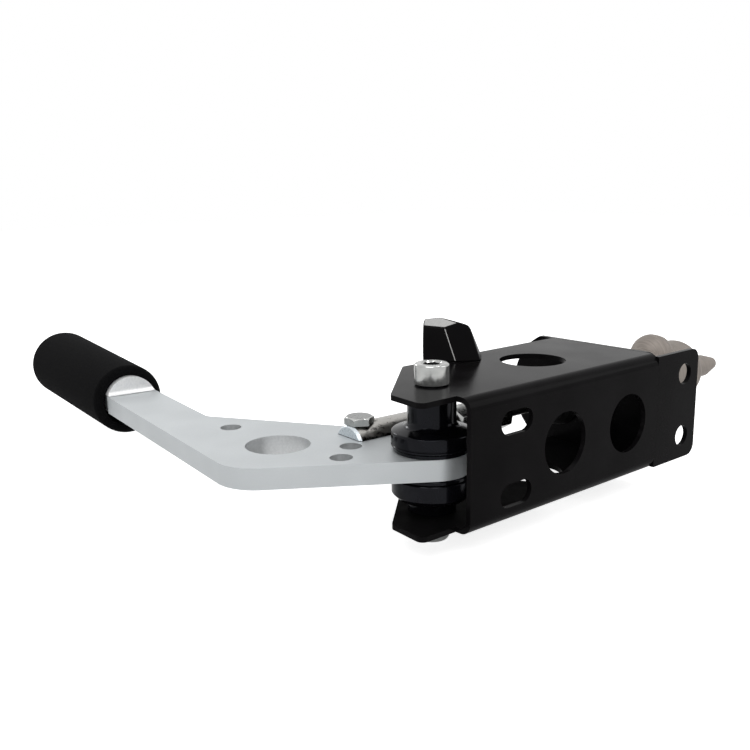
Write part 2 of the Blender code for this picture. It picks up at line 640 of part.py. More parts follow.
def build_cylinder():
    here = along_x(CYLINDER_Y, LEVER_MIDDLE)
    flange_end = FLANGE_FACE + FLANGE_THICKNESS
    dome = [(NOSE_RADIUS + (CHEST_RADIUS - NOSE_RADIUS) * math.cos(math.radians(a)),
             CHEST_END + (NOSE_X - CHEST_END) * math.sin(math.radians(a))) for a in range(90, -1, -15)]
    body = turned("cylinder_body", [
        (0, NOSE_X), *dome, (CHEST_RADIUS, CHEST_START + 3), (BARREL_RADIUS, CHEST_START),
        (BARREL_RADIUS, flange_end - 1), (SPIGOT_RADIUS, flange_end - 1),
        (SPIGOT_RADIUS, FLANGE_FACE - SPIGOT_LENGTH), (0, FLANGE_FACE - SPIGOT_LENGTH)],
        here, "cast_alloy")
    half = FLANGE_BOLT_SPACING / 2
    reach = math.degrees(math.acos((FLANGE_HUB_RADIUS - FLANGE_EAR_RADIUS) / half))
    oval = arc((half, 0), FLANGE_EAR_RADIUS, -reach, reach, 10)
    oval += arc((0, 0), FLANGE_HUB_RADIUS, reach, 180 - reach, 4)
    oval += arc((-half, 0), FLANGE_EAR_RADIUS, 180 - reach, 180 + reach, 10)
    oval += arc((0, 0), FLANGE_HUB_RADIUS, 180 + reach, 360 - reach, 4)
    join(body, place(prism("cylinder_flange", oval, FLANGE_FACE, flange_end), here))
    collar = along_x(CYLINDER_Y, LEVER_MIDDLE + COLLAR_RISE)
    join(body, rod("cylinder_collar", collar, COLLAR_RADIUS, COLLAR_X, COLLAR_X + COLLAR_WIDTH))
    cut(body, rod("cylinder_bore", here, BORE_RADIUS, FLANGE_FACE - SPIGOT_LENGTH - 1, BORE_END))
    for k, y in enumerate(FLANGE_BOLTS_Y):
        cut(body, rod("flange_bolt_hole_%d" % k, along_x(y, LEVER_MIDDLE), FORK_BOLT_RADIUS + GAP,
                      FLANGE_FACE - 2, flange_end + 2, segments=20))
    outlet = along_x(CYLINDER_Y, LEVER_MIDDLE - OUTLET_DROP)
    root = NOSE_X + GAP
    tip = root + OUTLET_LENGTH
    turned("outlet_adaptor", (
        (0, tip), (OUTLET_TIP_RADIUS - 1.4, tip), (OUTLET_TIP_RADIUS, tip - 1.6),
        (OUTLET_RADIUS, root + OUTLET_PLAIN), (OUTLET_RADIUS, root), (0, root)), outlet, "cast_alloy", 28)
    for k, y in enumerate(FLANGE_BOLTS_Y):
        spot = along_x(y, LEVER_MIDDLE)
        head_start = flange_end + GAP
        nut_end = PLATE_INSIDE - GAP
        bolt = prism("cylinder_bolt_%d" % (k + 1), hexagon((0, 0), HEX_8_FLATS), head_start,
                     head_start + HEX_8_HEAD, material="zinc_steel")
        place(bolt, spot)
        join(bolt, rod("bolt_shank_%d" % k, spot, FORK_BOLT_RADIUS, nut_end - HEX_8_NUT - THREAD_END,
                       head_start + 1, segments=20))
        nut = prism("cylinder_nut_%d" % (k + 1), hexagon((0, 0), HEX_8_FLATS), nut_end - HEX_8_NUT,
                    nut_end, holes=(circle((0, 0), FORK_BOLT_RADIUS + GAP, 20),), material="zinc_steel")
        place(nut, spot)


def build_inside():
    here = along_x(CYLINDER_Y, LEVER_MIDDLE)
    radius = BORE_RADIUS - PISTON_CLEARANCE
    rear = BALL_X - 4
    front = rear + PISTON_LENGTH
    cup = BALL_RADIUS + BALL_PLAY
    groove = radius - SEAL_DEPTH
    rear_seal = rear + 12
    front_seal = front - SEAL_WIDTH - GAP * 2
    hollow = [(r, BALL_X + h) for r, h in arc((0, 0), cup, 0, 90, 6)]
    turned("piston", [
        (0, front), (groove, front), (groove, front_seal), (radius, front_seal),
        (radius, rear_seal + SEAL_WIDTH + GAP * 2), (groove, rear_seal + SEAL_WIDTH + GAP * 2),
        (groove, rear_seal), (radius, rear_seal), (radius, rear), (cup, rear), *hollow],
        here, "brushed_aluminium", 32)
    for name, start in (("rear_seal", rear_seal), ("pressure_seal", front_seal)):
        ring(name, here, groove + GAP, BORE_RADIUS - 0.15, start + GAP, start + GAP + SEAL_WIDTH, "rubber")
    coil_start = front + GAP + SPRING_WIRE
    pitch = (BORE_END - STROKE - 2 - coil_start - SPRING_WIRE) / SPRING_TURNS
    curve = bpy.data.curves.new("return_spring", "CURVE")
    curve.dimensions = "3D"
    curve.bevel_depth = SPRING_WIRE * MM
    curve.bevel_resolution = 1
    curve.use_fill_caps = True
    spline = curve.splines.new("POLY")
    per_turn = 10
    count = SPRING_TURNS * per_turn
    spline.points.add(count)
    for k, point in enumerate(spline.points):
        angle = math.tau * k / per_turn
        height = coil_start + pitch * k / per_turn
        point.co = (SPRING_RADIUS * math.cos(angle) * MM, SPRING_RADIUS * math.sin(angle) * MM,
                    height * MM, 1)
    coil = bpy.data.objects.new("return_spring_wire", curve)
    PARTS.objects.link(coil)
    coil.matrix_world = here
    bpy.context.view_layer.update()
    mesh = bpy.data.meshes.new_from_object(coil.evaluated_get(bpy.context.evaluated_depsgraph_get()))
    weld(mesh)
    made = bpy.data.objects.new("return_spring", mesh)
    made.matrix_world = coil.matrix_world.copy()
    bpy.data.objects.remove(coil, do_unlink=True)
    keep(made, PARTS, "zinc_steel")
    mouth = FLANGE_FACE - SPIGOT_LENGTH + 1
    ring("retaining_washer", here, BOOT_NECK_RADIUS, BORE_RADIUS - GAP, mouth, mouth + CLIP_WIDTH,
         "zinc_steel")


def build_boot():
    """Bellows from the push rod to the cylinder's spigot."""
    root = PLATE_INSIDE - GAP - 1
    inner = SPIGOT_RADIUS - BOOT_WALL
    outer_side = []
    steps = BOOT_FOLDS * 2
    for k in range(steps + 1):
        share = k / steps
        base = inner + (BOOT_NECK_RADIUS + 1 - inner) * share
        fold = BOOT_FOLD_DEPTH if k % 2 == 0 and k < steps else 0
        outer_side.append((base + fold, root - BOOT_LENGTH * share))
    outer = [(r + BOOT_WALL, x) for r, x in outer_side]
    neck = root - BOOT_LENGTH - 3
    outer.append((BOOT_NECK_RADIUS + 1 + BOOT_WALL, neck))
    inside = [(BOOT_NECK_RADIUS, neck)] + [(r, x) for r, x in reversed(outer_side)]
    turned("rod_boot", outer + inside, along_x(CYLINDER_Y, LEVER_MIDDLE), "rubber", 32, closed=True)


def settle():
    """Moves the whole model so that it stands on its lowest point, centred on the origin."""
    bpy.context.view_layer.update()
    graph = bpy.context.evaluated_depsgraph_get()
    corners = []
    for item in PARTS.objects:
        solid = item.evaluated_get(graph)
        mesh = solid.to_mesh()
        corners += [item.matrix_world @ vertex.co for vertex in mesh.vertices]
        solid.to_mesh_clear()
    low = Vector([min(c[k] for c in corners) for k in range(3)])
    high = Vector([max(c[k] for c in corners) for k in range(3)])
    shift = Matrix.Translation((-(low.x + high.x) / 2, -(low.y + high.y) / 2, -low.z))
    for group in (PARTS, CUTTERS):
        for item in group.objects:
            item.matrix_world = shift @ item.matrix_world
    print("shift of the pivot, in metres:", [round(v, 6) for v in shift.translation])


build_channel()
build_end_plate()
build_stop_block()
build_pivot()
build_lever()
build_grip()
build_fork()
build_cylinder()
build_inside()
build_boot()
settle()
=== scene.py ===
# %% [markdown]
# # A hydraulic parking brake lever
#
# A rally or drift car often has a second brake circuit that the driver works by hand. The one built
# here is a flat aluminium lever on a pivot bolt, between the two flanges of a folded steel channel.
# Pulled, it pushes a fork and a rod into a small master cylinder bolted to the channel's far end.
#
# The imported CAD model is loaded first. It gives the bodies that move, and the size that every
# detailed piece has to keep. Pieces are drawn in millimetres from the pivot: X runs along the
# channel, Y away from its web and Z along the pivot bolt. Camera and lamps are placed in metres.

# %% Load the frame
import math

import bpy
from mathutils import Matrix, Vector
from mathutils.geometry import intersect_point_line


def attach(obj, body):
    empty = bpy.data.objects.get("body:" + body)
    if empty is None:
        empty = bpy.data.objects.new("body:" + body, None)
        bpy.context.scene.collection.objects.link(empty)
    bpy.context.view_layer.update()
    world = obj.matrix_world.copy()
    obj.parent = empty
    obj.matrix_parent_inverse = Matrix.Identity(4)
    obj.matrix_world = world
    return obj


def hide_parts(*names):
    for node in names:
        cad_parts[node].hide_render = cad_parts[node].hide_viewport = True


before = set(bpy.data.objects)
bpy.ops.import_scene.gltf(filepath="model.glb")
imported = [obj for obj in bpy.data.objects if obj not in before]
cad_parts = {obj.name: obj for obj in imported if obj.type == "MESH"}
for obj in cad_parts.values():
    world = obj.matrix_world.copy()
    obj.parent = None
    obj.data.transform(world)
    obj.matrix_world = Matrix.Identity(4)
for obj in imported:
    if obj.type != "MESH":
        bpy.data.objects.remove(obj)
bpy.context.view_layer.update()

# %% [markdown]
# ## Places
#
# The pivot is the natural zero of this mechanism, because everything turns about it or is measured
# from it. The frame's own zero is the middle of the model's footprint, so one vector joins the two.
# Three pieces lie along other lines: the push rod, the grip's arm and the cylinder. Each gets a
# matrix that turns the Z axis of a piece, which is the easy axis to model round, onto its own line.

# %% Places
MM = 0.001
PIVOT = Vector((-0.108564, -0.160941, 0.0428))
LEVER_MIDDLE = -4.4
FORK_BOLT = (-10.5, 40.0)
BALL = (142.0, 33.5)
ARM_ANGLE = 84.3
ARM_POINT = (-54.3, 202.0)
ALONG_X = Matrix(((0, 0, 1, 0), (1, 0, 0, 0), (0, 1, 0, 0), (0, 0, 0, 1)))


def from_pivot(x=0, y=0, z=0):
    return Matrix.Translation(PIVOT + Vector((x, y, z)) * MM)


def shift(x=0, y=0, z=0):
    return Matrix.Translation((x * MM, y * MM, z * MM))


def along(x, y, degrees):
    """A place in the lever's middle plane whose Z axis points that way in plan."""
    return from_pivot(x, y, LEVER_MIDDLE) @ Matrix.Rotation(math.radians(degrees), 4, "Z") @ ALONG_X


rod_angle = math.degrees(math.atan2(BALL[1] - FORK_BOLT[1], BALL[0] - FORK_BOLT[0]))
rod_length = math.hypot(BALL[1] - FORK_BOLT[1], BALL[0] - FORK_BOLT[0])
ON_ROD = along(*FORK_BOLT, rod_angle)
ON_ARM = along(*ARM_POINT, ARM_ANGLE)
ON_CYLINDER = along(0, BALL[1], 0)
print("push rod: %.1f mm at %.2f degrees" % (rod_length, rod_angle))

# %% [markdown]
# ## Camera, floor and light
#
# The camera looks down on the pivot's corner of the channel, close enough for strong perspective.
# Its place, angles and lens were worked out beforehand from the channel's edges and holes. The world
# is white to the camera and in reflections, and quieter where it only lights the object. The floor
# glows for the camera and a quarter as much in reflections, but its glow never lights the object.

# %% Camera
EYE = Vector((-0.377484, -0.445641, 0.16438))
YAW, PITCH, ROLL = (math.radians(a) for a in (50.383, 12.381, -0.895))
FOCAL_PIXELS = 885
PICTURE = 750
SENSOR = 36

ahead = Vector((math.cos(PITCH) * math.cos(YAW), math.cos(PITCH) * math.sin(YAW), -math.sin(PITCH)))
level = Vector((math.sin(YAW), -math.cos(YAW), 0))
upright = level.cross(ahead)
right = level * math.cos(ROLL) + upright * math.sin(ROLL)
up = upright * math.cos(ROLL) - level * math.sin(ROLL)

bpy.ops.object.select_all(action="DESELECT")
bpy.ops.object.camera_add()
camera = bpy.context.object
camera.name = "camera"
camera.data.sensor_width = SENSOR
camera.data.lens = FOCAL_PIXELS * SENSOR / PICTURE
camera.data.clip_start = 0.01
turn = Matrix((right, up, -ahead)).transposed().to_4x4()
camera.matrix_world = Matrix.Translation(EYE) @ turn
bpy.context.scene.camera = camera
bpy.context.scene.view_settings.view_transform = "Standard"
print("camera lens: %.2f mm" % camera.data.lens)

# %% [markdown]
# ## A helper for node trees
#
# Every finish is a small tree of shader nodes. One function adds any kind of node, sets its options
# and joins its inputs, so each material below reads as a list of what it is made of. Colours are
# written as the hex values that a paint program shows, and turned to linear light in one place.

# %% Colour and node helpers


def linear(code, alpha=1.0):
    """A hex colour as the linear values that the shader wants."""
    shares = [int(code[k:k + 2], 16) / 255 for k in (1, 3, 5)]
    return (*[s / 12.92 if s <= 0.04045 else ((s + 0.055) / 1.055) ** 2.4 for s in shares], alpha)


def add_node(tree, kind, options=None, **inputs):
    """Adds a node. An input is a value, or a socket of another node to link. A leading i is an index."""
    made = tree.nodes.new("ShaderNode" + kind)
    for key, value in (options or {}).items():
        setattr(made, key, value)
    for key, value in inputs.items():
        target = made.inputs[int(key[1:])] if key[1:].isdigit() else made.inputs[key.replace("_", " ")]
        if isinstance(value, bpy.types.NodeSocket):
            tree.links.new(value, target)
        else:
            target.default_value = value
    return made


# %% World, floor and lamps
ROOM_LIGHT = 0.5
FLOOR_GLOW = 0.8
FLOOR_SHINE = 0.25
FLOOR_SIZE = 6
LAMP_AIM = Vector((-0.1, -0.12, 0.05))

world = bpy.data.worlds.new("studio")
bpy.context.scene.world = world
world.use_nodes = True
tree = world.node_tree
tree.nodes.clear()
rays = add_node(tree, "LightPath")
seen = add_node(tree, "Math", {"operation": "MAXIMUM"}, i0=rays.outputs["Is Camera Ray"],
                i1=rays.outputs["Is Transmission Ray"])
shiny = add_node(tree, "Math", {"operation": "MAXIMUM"}, i0=seen.outputs[0],
                 i1=rays.outputs["Is Glossy Ray"])
room = add_node(tree, "Background", Color=linear("#FFFFFF"), Strength=ROOM_LIGHT)
white = add_node(tree, "Background", Color=linear("#FFFFFF"), Strength=1.0)
both = add_node(tree, "MixShader", i0=shiny.outputs[0], i1=room.outputs[0], i2=white.outputs[0])
add_node(tree, "OutputWorld", Surface=both.outputs[0])

bpy.ops.mesh.primitive_plane_add(size=FLOOR_SIZE)
floor = bpy.context.object
floor.name = "floor"
paper = bpy.data.materials.new("white_paper_floor")
paper.use_nodes = True
tree = paper.node_tree
tree.nodes.clear()
rays = add_node(tree, "LightPath")
sheet = add_node(tree, "BsdfDiffuse", Color=linear("#F2F2F2"))
glow = add_node(tree, "Emission", Color=linear("#FFFFFF"), Strength=FLOOR_GLOW)
lit = add_node(tree, "AddShader", i0=sheet.outputs[0], i1=glow.outputs[0])
seen = add_node(tree, "Math", {"operation": "MAXIMUM"}, i0=rays.outputs["Is Camera Ray"],
                i1=rays.outputs["Is Transmission Ray"])
mirrored = add_node(tree, "Math", {"operation": "MULTIPLY"}, i0=rays.outputs["Is Glossy Ray"],
                    i1=FLOOR_SHINE)
shiny = add_node(tree, "Math", {"operation": "MAXIMUM"}, i0=seen.outputs[0], i1=mirrored.outputs[0])
shown = add_node(tree, "MixShader", i0=shiny.outputs[0], i1=sheet.outputs[0], i2=lit.outputs[0])
add_node(tree, "OutputMaterial", Surface=shown.outputs[0])
floor.data.materials.append(paper)

LAMPS = {"key": ((-0.7, -0.5, 1.1), 0.9, 5.8), "fill": ((0.7, -0.9, 0.7), 0.7, 2.2),
         "overhead": ((0.22, -0.34, 1.0), 0.2, 1.3), "window": ((-0.07, 0.95, 0.54), 0.22, 1.3)}
for name, (place, size, watts) in LAMPS.items():
    bpy.ops.object.light_add(type="AREA", location=place)
    lamp = bpy.context.object
    lamp.name = name
    lamp.data.size = size
    lamp.data.energy = watts
    lamp.rotation_euler = (LAMP_AIM - Vector(place)).to_track_quat("-Z", "Y").to_euler()

# %% [markdown]
# ## Finishes
#
# Each one starts from what the real surface is. A base value for colour and roughness sets the
# family, and then noise breaks it up at a real size: the grain of blasted aluminium, the orange peel
# of powder coat, the pores of foam, the tool marks of a lathe. Patterns read Object coordinates,
# which are metres in the frame, so a pattern as wide as one millimetre has a scale near 1000.

# %% Start of a finish


def start_finish(name, colour, metallic, roughness):
    """A new material with those base values. Returns its tree, its shader and the coordinates."""
    made = bpy.data.materials.new(name)
    made.use_nodes = True
    tree = made.node_tree
    shader = tree.nodes["Principled BSDF"]
    shader.inputs["Base Color"].default_value = linear(colour)
    shader.inputs["Metallic"].default_value = metallic
    shader.inputs["Roughness"].default_value = roughness
    return made, tree, shader, add_node(tree, "TexCoord").outputs["Object"]


def noise(tree, here, scale, detail=2.0):
    """A cloudy pattern, about 1000 / scale millimetres wide."""
    return add_node(tree, "TexNoise", Vector=here, Scale=scale, Detail=detail).outputs["Fac"]


def tool_rings(tree, here, direction, scale, distortion, detail=1.0):
    """The even rings that a cutting tool leaves."""
    return add_node(tree, "TexWave", {"bands_direction": direction}, Vector=here, Scale=scale,
                    Distortion=distortion, Detail=detail).outputs["Fac"]


def vary(tree, source, target, low, high, spread=(0.3, 0.7)):
    """Maps a pattern's middle range onto a socket of the shader, as numbers or as hex colours."""
    if isinstance(low, str):
        ramp = add_node(tree, "ValToRGB", i0=source)
        for end, place, code in zip(ramp.color_ramp.elements, spread, (low, high)):
            end.position = place
            end.color = linear(code)
        tree.links.new(ramp.outputs["Color"], target)
    else:
        span = add_node(tree, "MapRange", Value=source, From_Min=spread[0], From_Max=spread[1],
                        To_Min=low, To_Max=high)
        tree.links.new(span.outputs[0], target)


def grade(tree, shader, source, colours, roughness):
    """Varies the colour and the roughness of a finish with one pattern."""
    vary(tree, source, shader.inputs["Base Color"], *colours)
    vary(tree, source, shader.inputs["Roughness"], *roughness)


def roughen(tree, shader, source, height, strength=1.0):
    """Bump from a pattern, with its height in millimetres."""
    bump = add_node(tree, "Bump", Height=source, Strength=strength, Distance=height * MM)
    if shader.inputs["Normal"].is_linked:
        tree.links.new(shader.inputs["Normal"].links[0].from_socket, bump.inputs["Normal"])
    tree.links.new(bump.outputs[0], shader.inputs["Normal"])


# %% Powder-coated steel
# Baked powder is a hard, even, half-gloss skin with a faint orange peel about 1.5 mm wide.
powder_coat, tree, shader, here = start_finish("powder_coated_steel", "#0E0D0E", 0.0, 0.28)
shader.inputs["Specular IOR Level"].default_value = 0.026
peel = noise(tree, here, 650.0)
cloud = noise(tree, here, 45.0, 3.0)
grade(tree, shader, cloud, ("#0C0B0C", "#121112"), (0.16, 0.24))
roughen(tree, shader, peel, 0.012, 0.3)

# Powder hardly reaches the inside of a channel, where it stays thin, rough and dull.
thin_coat, tree, shader, here = start_finish("thin_powder_coat", "#0B0A0B", 0.0, 0.6)
shader.inputs["Specular IOR Level"].default_value = 0.02
patches = noise(tree, here, 120.0, 3.0)
grade(tree, shader, patches, ("#090909", "#0E0D0E"), (0.52, 0.7))
specks = noise(tree, here, 900.0)
roughen(tree, shader, specks, 0.02, 0.3)

# %% Bare ground steel
# The block's crown shows metal: a fine grind leaves it an even, dull grey. The same finish also makes
# a painted highlight along one upright corner of the block.
ground_steel_and_highlight, tree, shader, here = start_finish("ground_bare_steel_and_painted_highlight", "#9C9C9B", 0.6, 0.5)
scratch = add_node(tree, "Mapping", Vector=here, Scale=(1.0, 6.0, 1.0)).outputs[0]
grit = noise(tree, scratch, 500.0, 4.0)
grade(tree, shader, grit, ("#939392", "#A6A6A5"), (0.4, 0.62))
roughen(tree, shader, grit, 0.01, 0.3)

# %% Satin anodised aluminium
# Blasted and clear anodised plate is pale and silky, with a grain about 0.6 mm wide.
satin_aluminium, tree, shader, here = start_finish("satin_anodised_aluminium", "#C6C9CB", 0.55, 0.5)
grain = noise(tree, here, 1600.0, 3.0)
cloud = noise(tree, here, 40.0, 1.0)
vary(tree, cloud, shader.inputs["Base Color"], "#BFC3C5", "#C5C9CB")
vary(tree, grain, shader.inputs["Roughness"], 0.44, 0.56)
roughen(tree, shader, grain, 0.01, 0.3)

# %% Turned bright aluminium
# The grip's round core was faced on a lathe, which leaves it whiter and shinier than the plate.
bright_aluminium, tree, shader, here = start_finish("faced_bright_aluminium", "#ECEDED", 0.5, 0.35)
marks = noise(tree, here, 900.0)
grade(tree, shader, marks, ("#E6E7E8", "#F2F2F2"), (0.3, 0.42))
roughen(tree, shader, marks, 0.006, 0.3)

# The lever's holes were bored after anodising: bare metal, ringed by the tool.
bored_aluminium, tree, shader, here = start_finish("bored_bare_aluminium", "#C9CBCC", 0.7, 0.38)
rings = tool_rings(tree, here, "Z", 500.0, 0.4)
chatter = noise(tree, here, 800.0)
grade(tree, shader, chatter, ("#C3C5C6", "#CFD1D2"), (0.34, 0.42))
roughen(tree, shader, rings, 0.004, 0.3)

# %% Gloss black anodising
# The spacers are turned aluminium dyed black: a deep gloss over fine rings left by the tool.
black_anodised, tree, shader, here = start_finish("gloss_black_anodised", "#09090B", 0.0, 0.16)
shader.inputs["Specular IOR Level"].default_value = 0.16
shader.inputs["Specular Tint"].default_value = linear("#E9EDFA")
rings = tool_rings(tree, here, "Z", 260.0, 0.3)
cloud = noise(tree, here, 90.0)
grade(tree, shader, cloud, ("#08080A", "#0E0E12"), (0.13, 0.2))
roughen(tree, shader, rings, 0.002, 0.4)

# %% Bright zinc plate
# Screws and nuts are forged steel under bright zinc, as shiny as chrome, with soft broad clouds where
# the plating is thicker.
zinc_plate, tree, shader, here = start_finish("bright_zinc_plate", "#BFC0BF", 1.0, 0.15)
mottle = noise(tree, here, 150.0, 1.0)
fine = noise(tree, here, 700.0)
vary(tree, mottle, shader.inputs["Base Color"], "#9B9C9B", "#C0C1BF")
vary(tree, fine, shader.inputs["Roughness"], 0.12, 0.2)
roughen(tree, shader, mottle, 0.02, 0.3)

# The fork screw's head is darker and duller on its top face.
darker_top_zinc, tree, shader, here = start_finish("dulled_zinc_plate", "#8C8D8C", 1.0, 0.3)
speckle = noise(tree, here, 500.0, 3.0)
grade(tree, shader, speckle, ("#7F807F", "#999A99"), (0.24, 0.38))

# %% Turned steel
# The fork is plain turned bar: every pass of the tool leaves a ring half a millimetre wide. Its dark
# sides are partly painted shade and partly blotches of oil, and its lighter top is a painted highlight.
turned_steel, tree, shader, here = start_finish("turned_plain_steel", "#6E6863", 1.0, 0.3)
lined = add_node(tree, "Mapping", Vector=here, Rotation=(0, 0, math.radians(-rod_angle))).outputs[0]
rings = tool_rings(tree, lined, "X", 330.0, 0.6, 2.0)
stain = noise(tree, here, 420.0, 4.0)
fork_middle = PIVOT.z + LEVER_MIDDLE * MM
tall = add_node(tree, "SeparateXYZ", Vector=here).outputs["Z"]
# Painted highlight: the colour lightens towards the fork's upper faces, as if lit from above.
painted_top_highlight = add_node(tree, "MapRange", Value=tall, From_Min=fork_middle + 5.2 * MM,
                  From_Max=fork_middle + 7.4 * MM, To_Min=0.0, To_Max=0.5).outputs[0]
# The sum mixes blotches of oil with the painted highlight on top; the ramp's dark end is partly painted
# shade.
lightened = add_node(tree, "Math", {"operation": "ADD"}, i0=stain, i1=painted_top_highlight).outputs[0]
vary(tree, lightened, shader.inputs["Base Color"], "#1E1D1C", "#AFADA9", (0.56, 0.95))
vary(tree, stain, shader.inputs["Roughness"], 0.24, 0.4)
roughen(tree, shader, rings, 0.015, 0.5)

# The fork's nose is faced bare metal, and its bright bluish tone is a painted reflection.
faced_steel_painted_reflection, tree, shader, here = start_finish("faced_steel_with_painted_reflection", "#CDD5DA", 1.0, 0.3)
marks = noise(tree, here, 700.0)
grade(tree, shader, marks, ("#C6CED3", "#DAE0E4"), (0.24, 0.38))
roughen(tree, shader, marks, 0.01, 0.3)

# %% Black oxide
# The push rod is blackened in a hot bath and oiled: dark grey, with the dull gleam of bare threads.
black_oxide, tree, shader, here = start_finish("oiled_black_oxide", "#1C1B1B", 0.6, 0.36)
bath = noise(tree, here, 300.0, 3.0)
grade(tree, shader, bath, ("#141313", "#262524"), (0.3, 0.46))
roughen(tree, shader, bath, 0.01, 0.3)

# %% Cast alloy
# The cylinder is die cast and dulled by its coating: brown-grey, matt, with fine streaks of the
# machining that runs round it.
cast_alloy, tree, shader, here = start_finish("die_cast_alloy", "#8E8680", 0.55, 0.58)
streak = add_node(tree, "Mapping", Vector=here, Scale=(14.0, 1.0, 1.0)).outputs[0]
lines = noise(tree, streak, 110.0, 4.0)
grade(tree, shader, lines, ("#766F69", "#978F88"), (0.5, 0.66))
roughen(tree, shader, lines, 0.03, 0.4)

# %% Moulded foam
# Closed-cell rubber foam has a skin of tiny pores, drawn here about 0.8 mm wide so that they show.
foam, tree, shader, here = start_finish("moulded_rubber_foam", "#0E0E0F", 0.0, 0.94)
shader.inputs["Specular IOR Level"].default_value = 0.04
pores = add_node(tree, "TexVoronoi", Vector=here, Scale=1200.0).outputs["Distance"]
lumps = noise(tree, here, 320.0, 3.0)
vary(tree, pores, shader.inputs["Base Color"], "#040405", "#0E0E0F", (0.1, 0.6))
roughen(tree, shader, pores, 0.12, 0.5)
roughen(tree, shader, lumps, 0.15, 0.35)

# %% Rubber and bronze
# The boot is moulded rubber with a dull bloom, and the bush is oil-filled bronze.
rubber, tree, shader, here = start_finish("moulded_rubber", "#121212", 0.0, 0.6)
bloom = noise(tree, here, 200.0, 3.0)
grade(tree, shader, bloom, ("#0E0E0E", "#1A1A1A"), (0.52, 0.7))
roughen(tree, shader, bloom, 0.05, 0.3)

bronze, tree, shader, here = start_finish("sintered_bronze", "#A8763A", 1.0, 0.4)
pits = noise(tree, here, 1500.0)
grade(tree, shader, pits, ("#94652F", "#BC8848"), (0.32, 0.5))
print("finishes:", len(bpy.data.materials) - 1)

# %% [markdown]
# ## Ways of making a shape
#
# Nearly everything here was either cut from plate, folded from sheet or turned on a lathe, so a few
# moves do for most pieces. A flat outline is drawn corner by corner and extruded. A profile is drawn
# the same way and spun round Z. Holes are drilled with a cylinder, edges are broken with a bevel, and
# weighted normals keep the flat faces flat under smooth shading.

# %% Selecting and drawing


def start_clean():
    """Object mode, with nothing selected."""
    if bpy.context.object and bpy.context.object.mode != "OBJECT":
        bpy.ops.object.mode_set(mode="OBJECT")
    bpy.ops.object.select_all(action="DESELECT")


def only(piece, edit=False):
    """Leaves one object selected and active, in edit mode with all of it selected if asked."""
    start_clean()
    piece.select_set(True)
    bpy.context.view_layer.objects.active = piece
    if edit:
        bpy.ops.object.mode_set(mode="EDIT")
        bpy.ops.mesh.select_mode(type="VERT")
        bpy.ops.mesh.select_all(action="SELECT")


def named(name):
    piece = bpy.context.object
    piece.name = name
    piece.data.name = name
    return piece


def draw(name, points):
    """One vertex, extruded from point to point in millimetres. Left in edit mode, all selected."""
    start_clean()
    bpy.ops.mesh.primitive_plane_add(size=MM)
    piece = named(name)
    bpy.ops.object.mode_set(mode="EDIT")
    bpy.ops.mesh.select_mode(type="VERT")
    bpy.ops.mesh.merge(type="CENTER")
    bpy.ops.transform.translate(value=Vector(points[0]) * MM)
    for last, point in zip(points, points[1:]):
        step = (Vector(point) - Vector(last)) * MM
        bpy.ops.mesh.extrude_region_move(TRANSFORM_OT_translate={"value": step})
    bpy.ops.mesh.select_all(action="SELECT")
    return piece


def arc(centre, radius, start, end, steps=12):
    """Points on an arc, both ends included, with angles in degrees."""
    angles = [math.radians(start + (end - start) * k / steps) for k in range(steps + 1)]
    return [(centre[0] + radius * math.cos(a), centre[1] + radius * math.sin(a)) for a in angles]


def plate(name, outline, low, high):
    """An outline in X and Y, extruded from one height to another."""
    piece = draw(name, [(x, y, low) for x, y in outline])
    bpy.ops.mesh.edge_face_add()
    bpy.ops.mesh.extrude_region_move(TRANSFORM_OT_translate={"value": (0, 0, (high - low) * MM)})
    bpy.ops.mesh.select_all(action="SELECT")
    bpy.ops.mesh.normals_make_consistent(inside=False)
    bpy.ops.object.mode_set(mode="OBJECT")
    return piece


def spin(name, profile, steps=96, closed=False):
    """A profile of (radius, height) points spun round Z."""
    points = [(radius, 0, height) for radius, height in profile]
    piece = draw(name, points + points[:1] if closed else points)
    bpy.ops.mesh.remove_doubles(threshold=1e-7)
    bpy.ops.mesh.spin(steps=steps, angle=math.tau, center=(0, 0, 0), axis=(0, 0, 1))
    bpy.ops.mesh.select_all(action="SELECT")
    bpy.ops.mesh.remove_doubles(threshold=2e-6)
    bpy.ops.mesh.normals_make_consistent(inside=False)
    bpy.ops.object.mode_set(mode="OBJECT")
    return piece


# %% Shaping and finishing


def put(piece, matrix):
    """Moves a piece and freezes the place in its mesh."""
    only(piece)
    piece.matrix_world = matrix @ piece.matrix_world
    bpy.ops.object.transform_apply(location=True, rotation=True, scale=True)
    return piece


def modify(piece, kind, **settings):
    """Adds a modifier with those settings and applies it."""
    only(piece)
    bpy.ops.object.modifier_add(type=kind)
    change = piece.modifiers[-1]
    for key, value in settings.items():
        setattr(change, key, value)
    bpy.ops.object.modifier_apply(modifier=change.name)
    return piece


def carve(piece, tool, operation="DIFFERENCE"):
    """Cuts a piece with another, or joins or crosses them, and throws the tool away."""
    modify(piece, "BOOLEAN", operation=operation, solver="EXACT", object=tool)
    bpy.data.objects.remove(tool, do_unlink=True)
    return piece


def cylinder(radius, low, high, matrix=Matrix.Identity(4), sides=96):
    """A round tool from one height to another on the Z axis of a place."""
    start_clean()
    bpy.ops.mesh.primitive_cylinder_add(vertices=sides, radius=radius * MM, depth=(high - low) * MM,
                                        location=(0, 0, (low + high) / 2 * MM))
    return put(named("tool"), matrix)


def block(low, high, matrix=Matrix.Identity(4)):
    """A box between two corners in millimetres."""
    start_clean()
    low, high = Vector(low) * MM, Vector(high) * MM
    bpy.ops.mesh.primitive_cube_add(size=1, location=(low + high) / 2, scale=high - low)
    return put(named("tool"), matrix)


def merge_flat(piece):
    """Dissolves the lines that joining leaves on flat faces, so that no bevel or shading follows them."""
    only(piece, edit=True)
    bpy.ops.mesh.remove_doubles(threshold=1e-6)
    bpy.ops.mesh.dissolve_limited(angle_limit=math.radians(0.5))
    bpy.ops.object.mode_set(mode="OBJECT")
    return piece


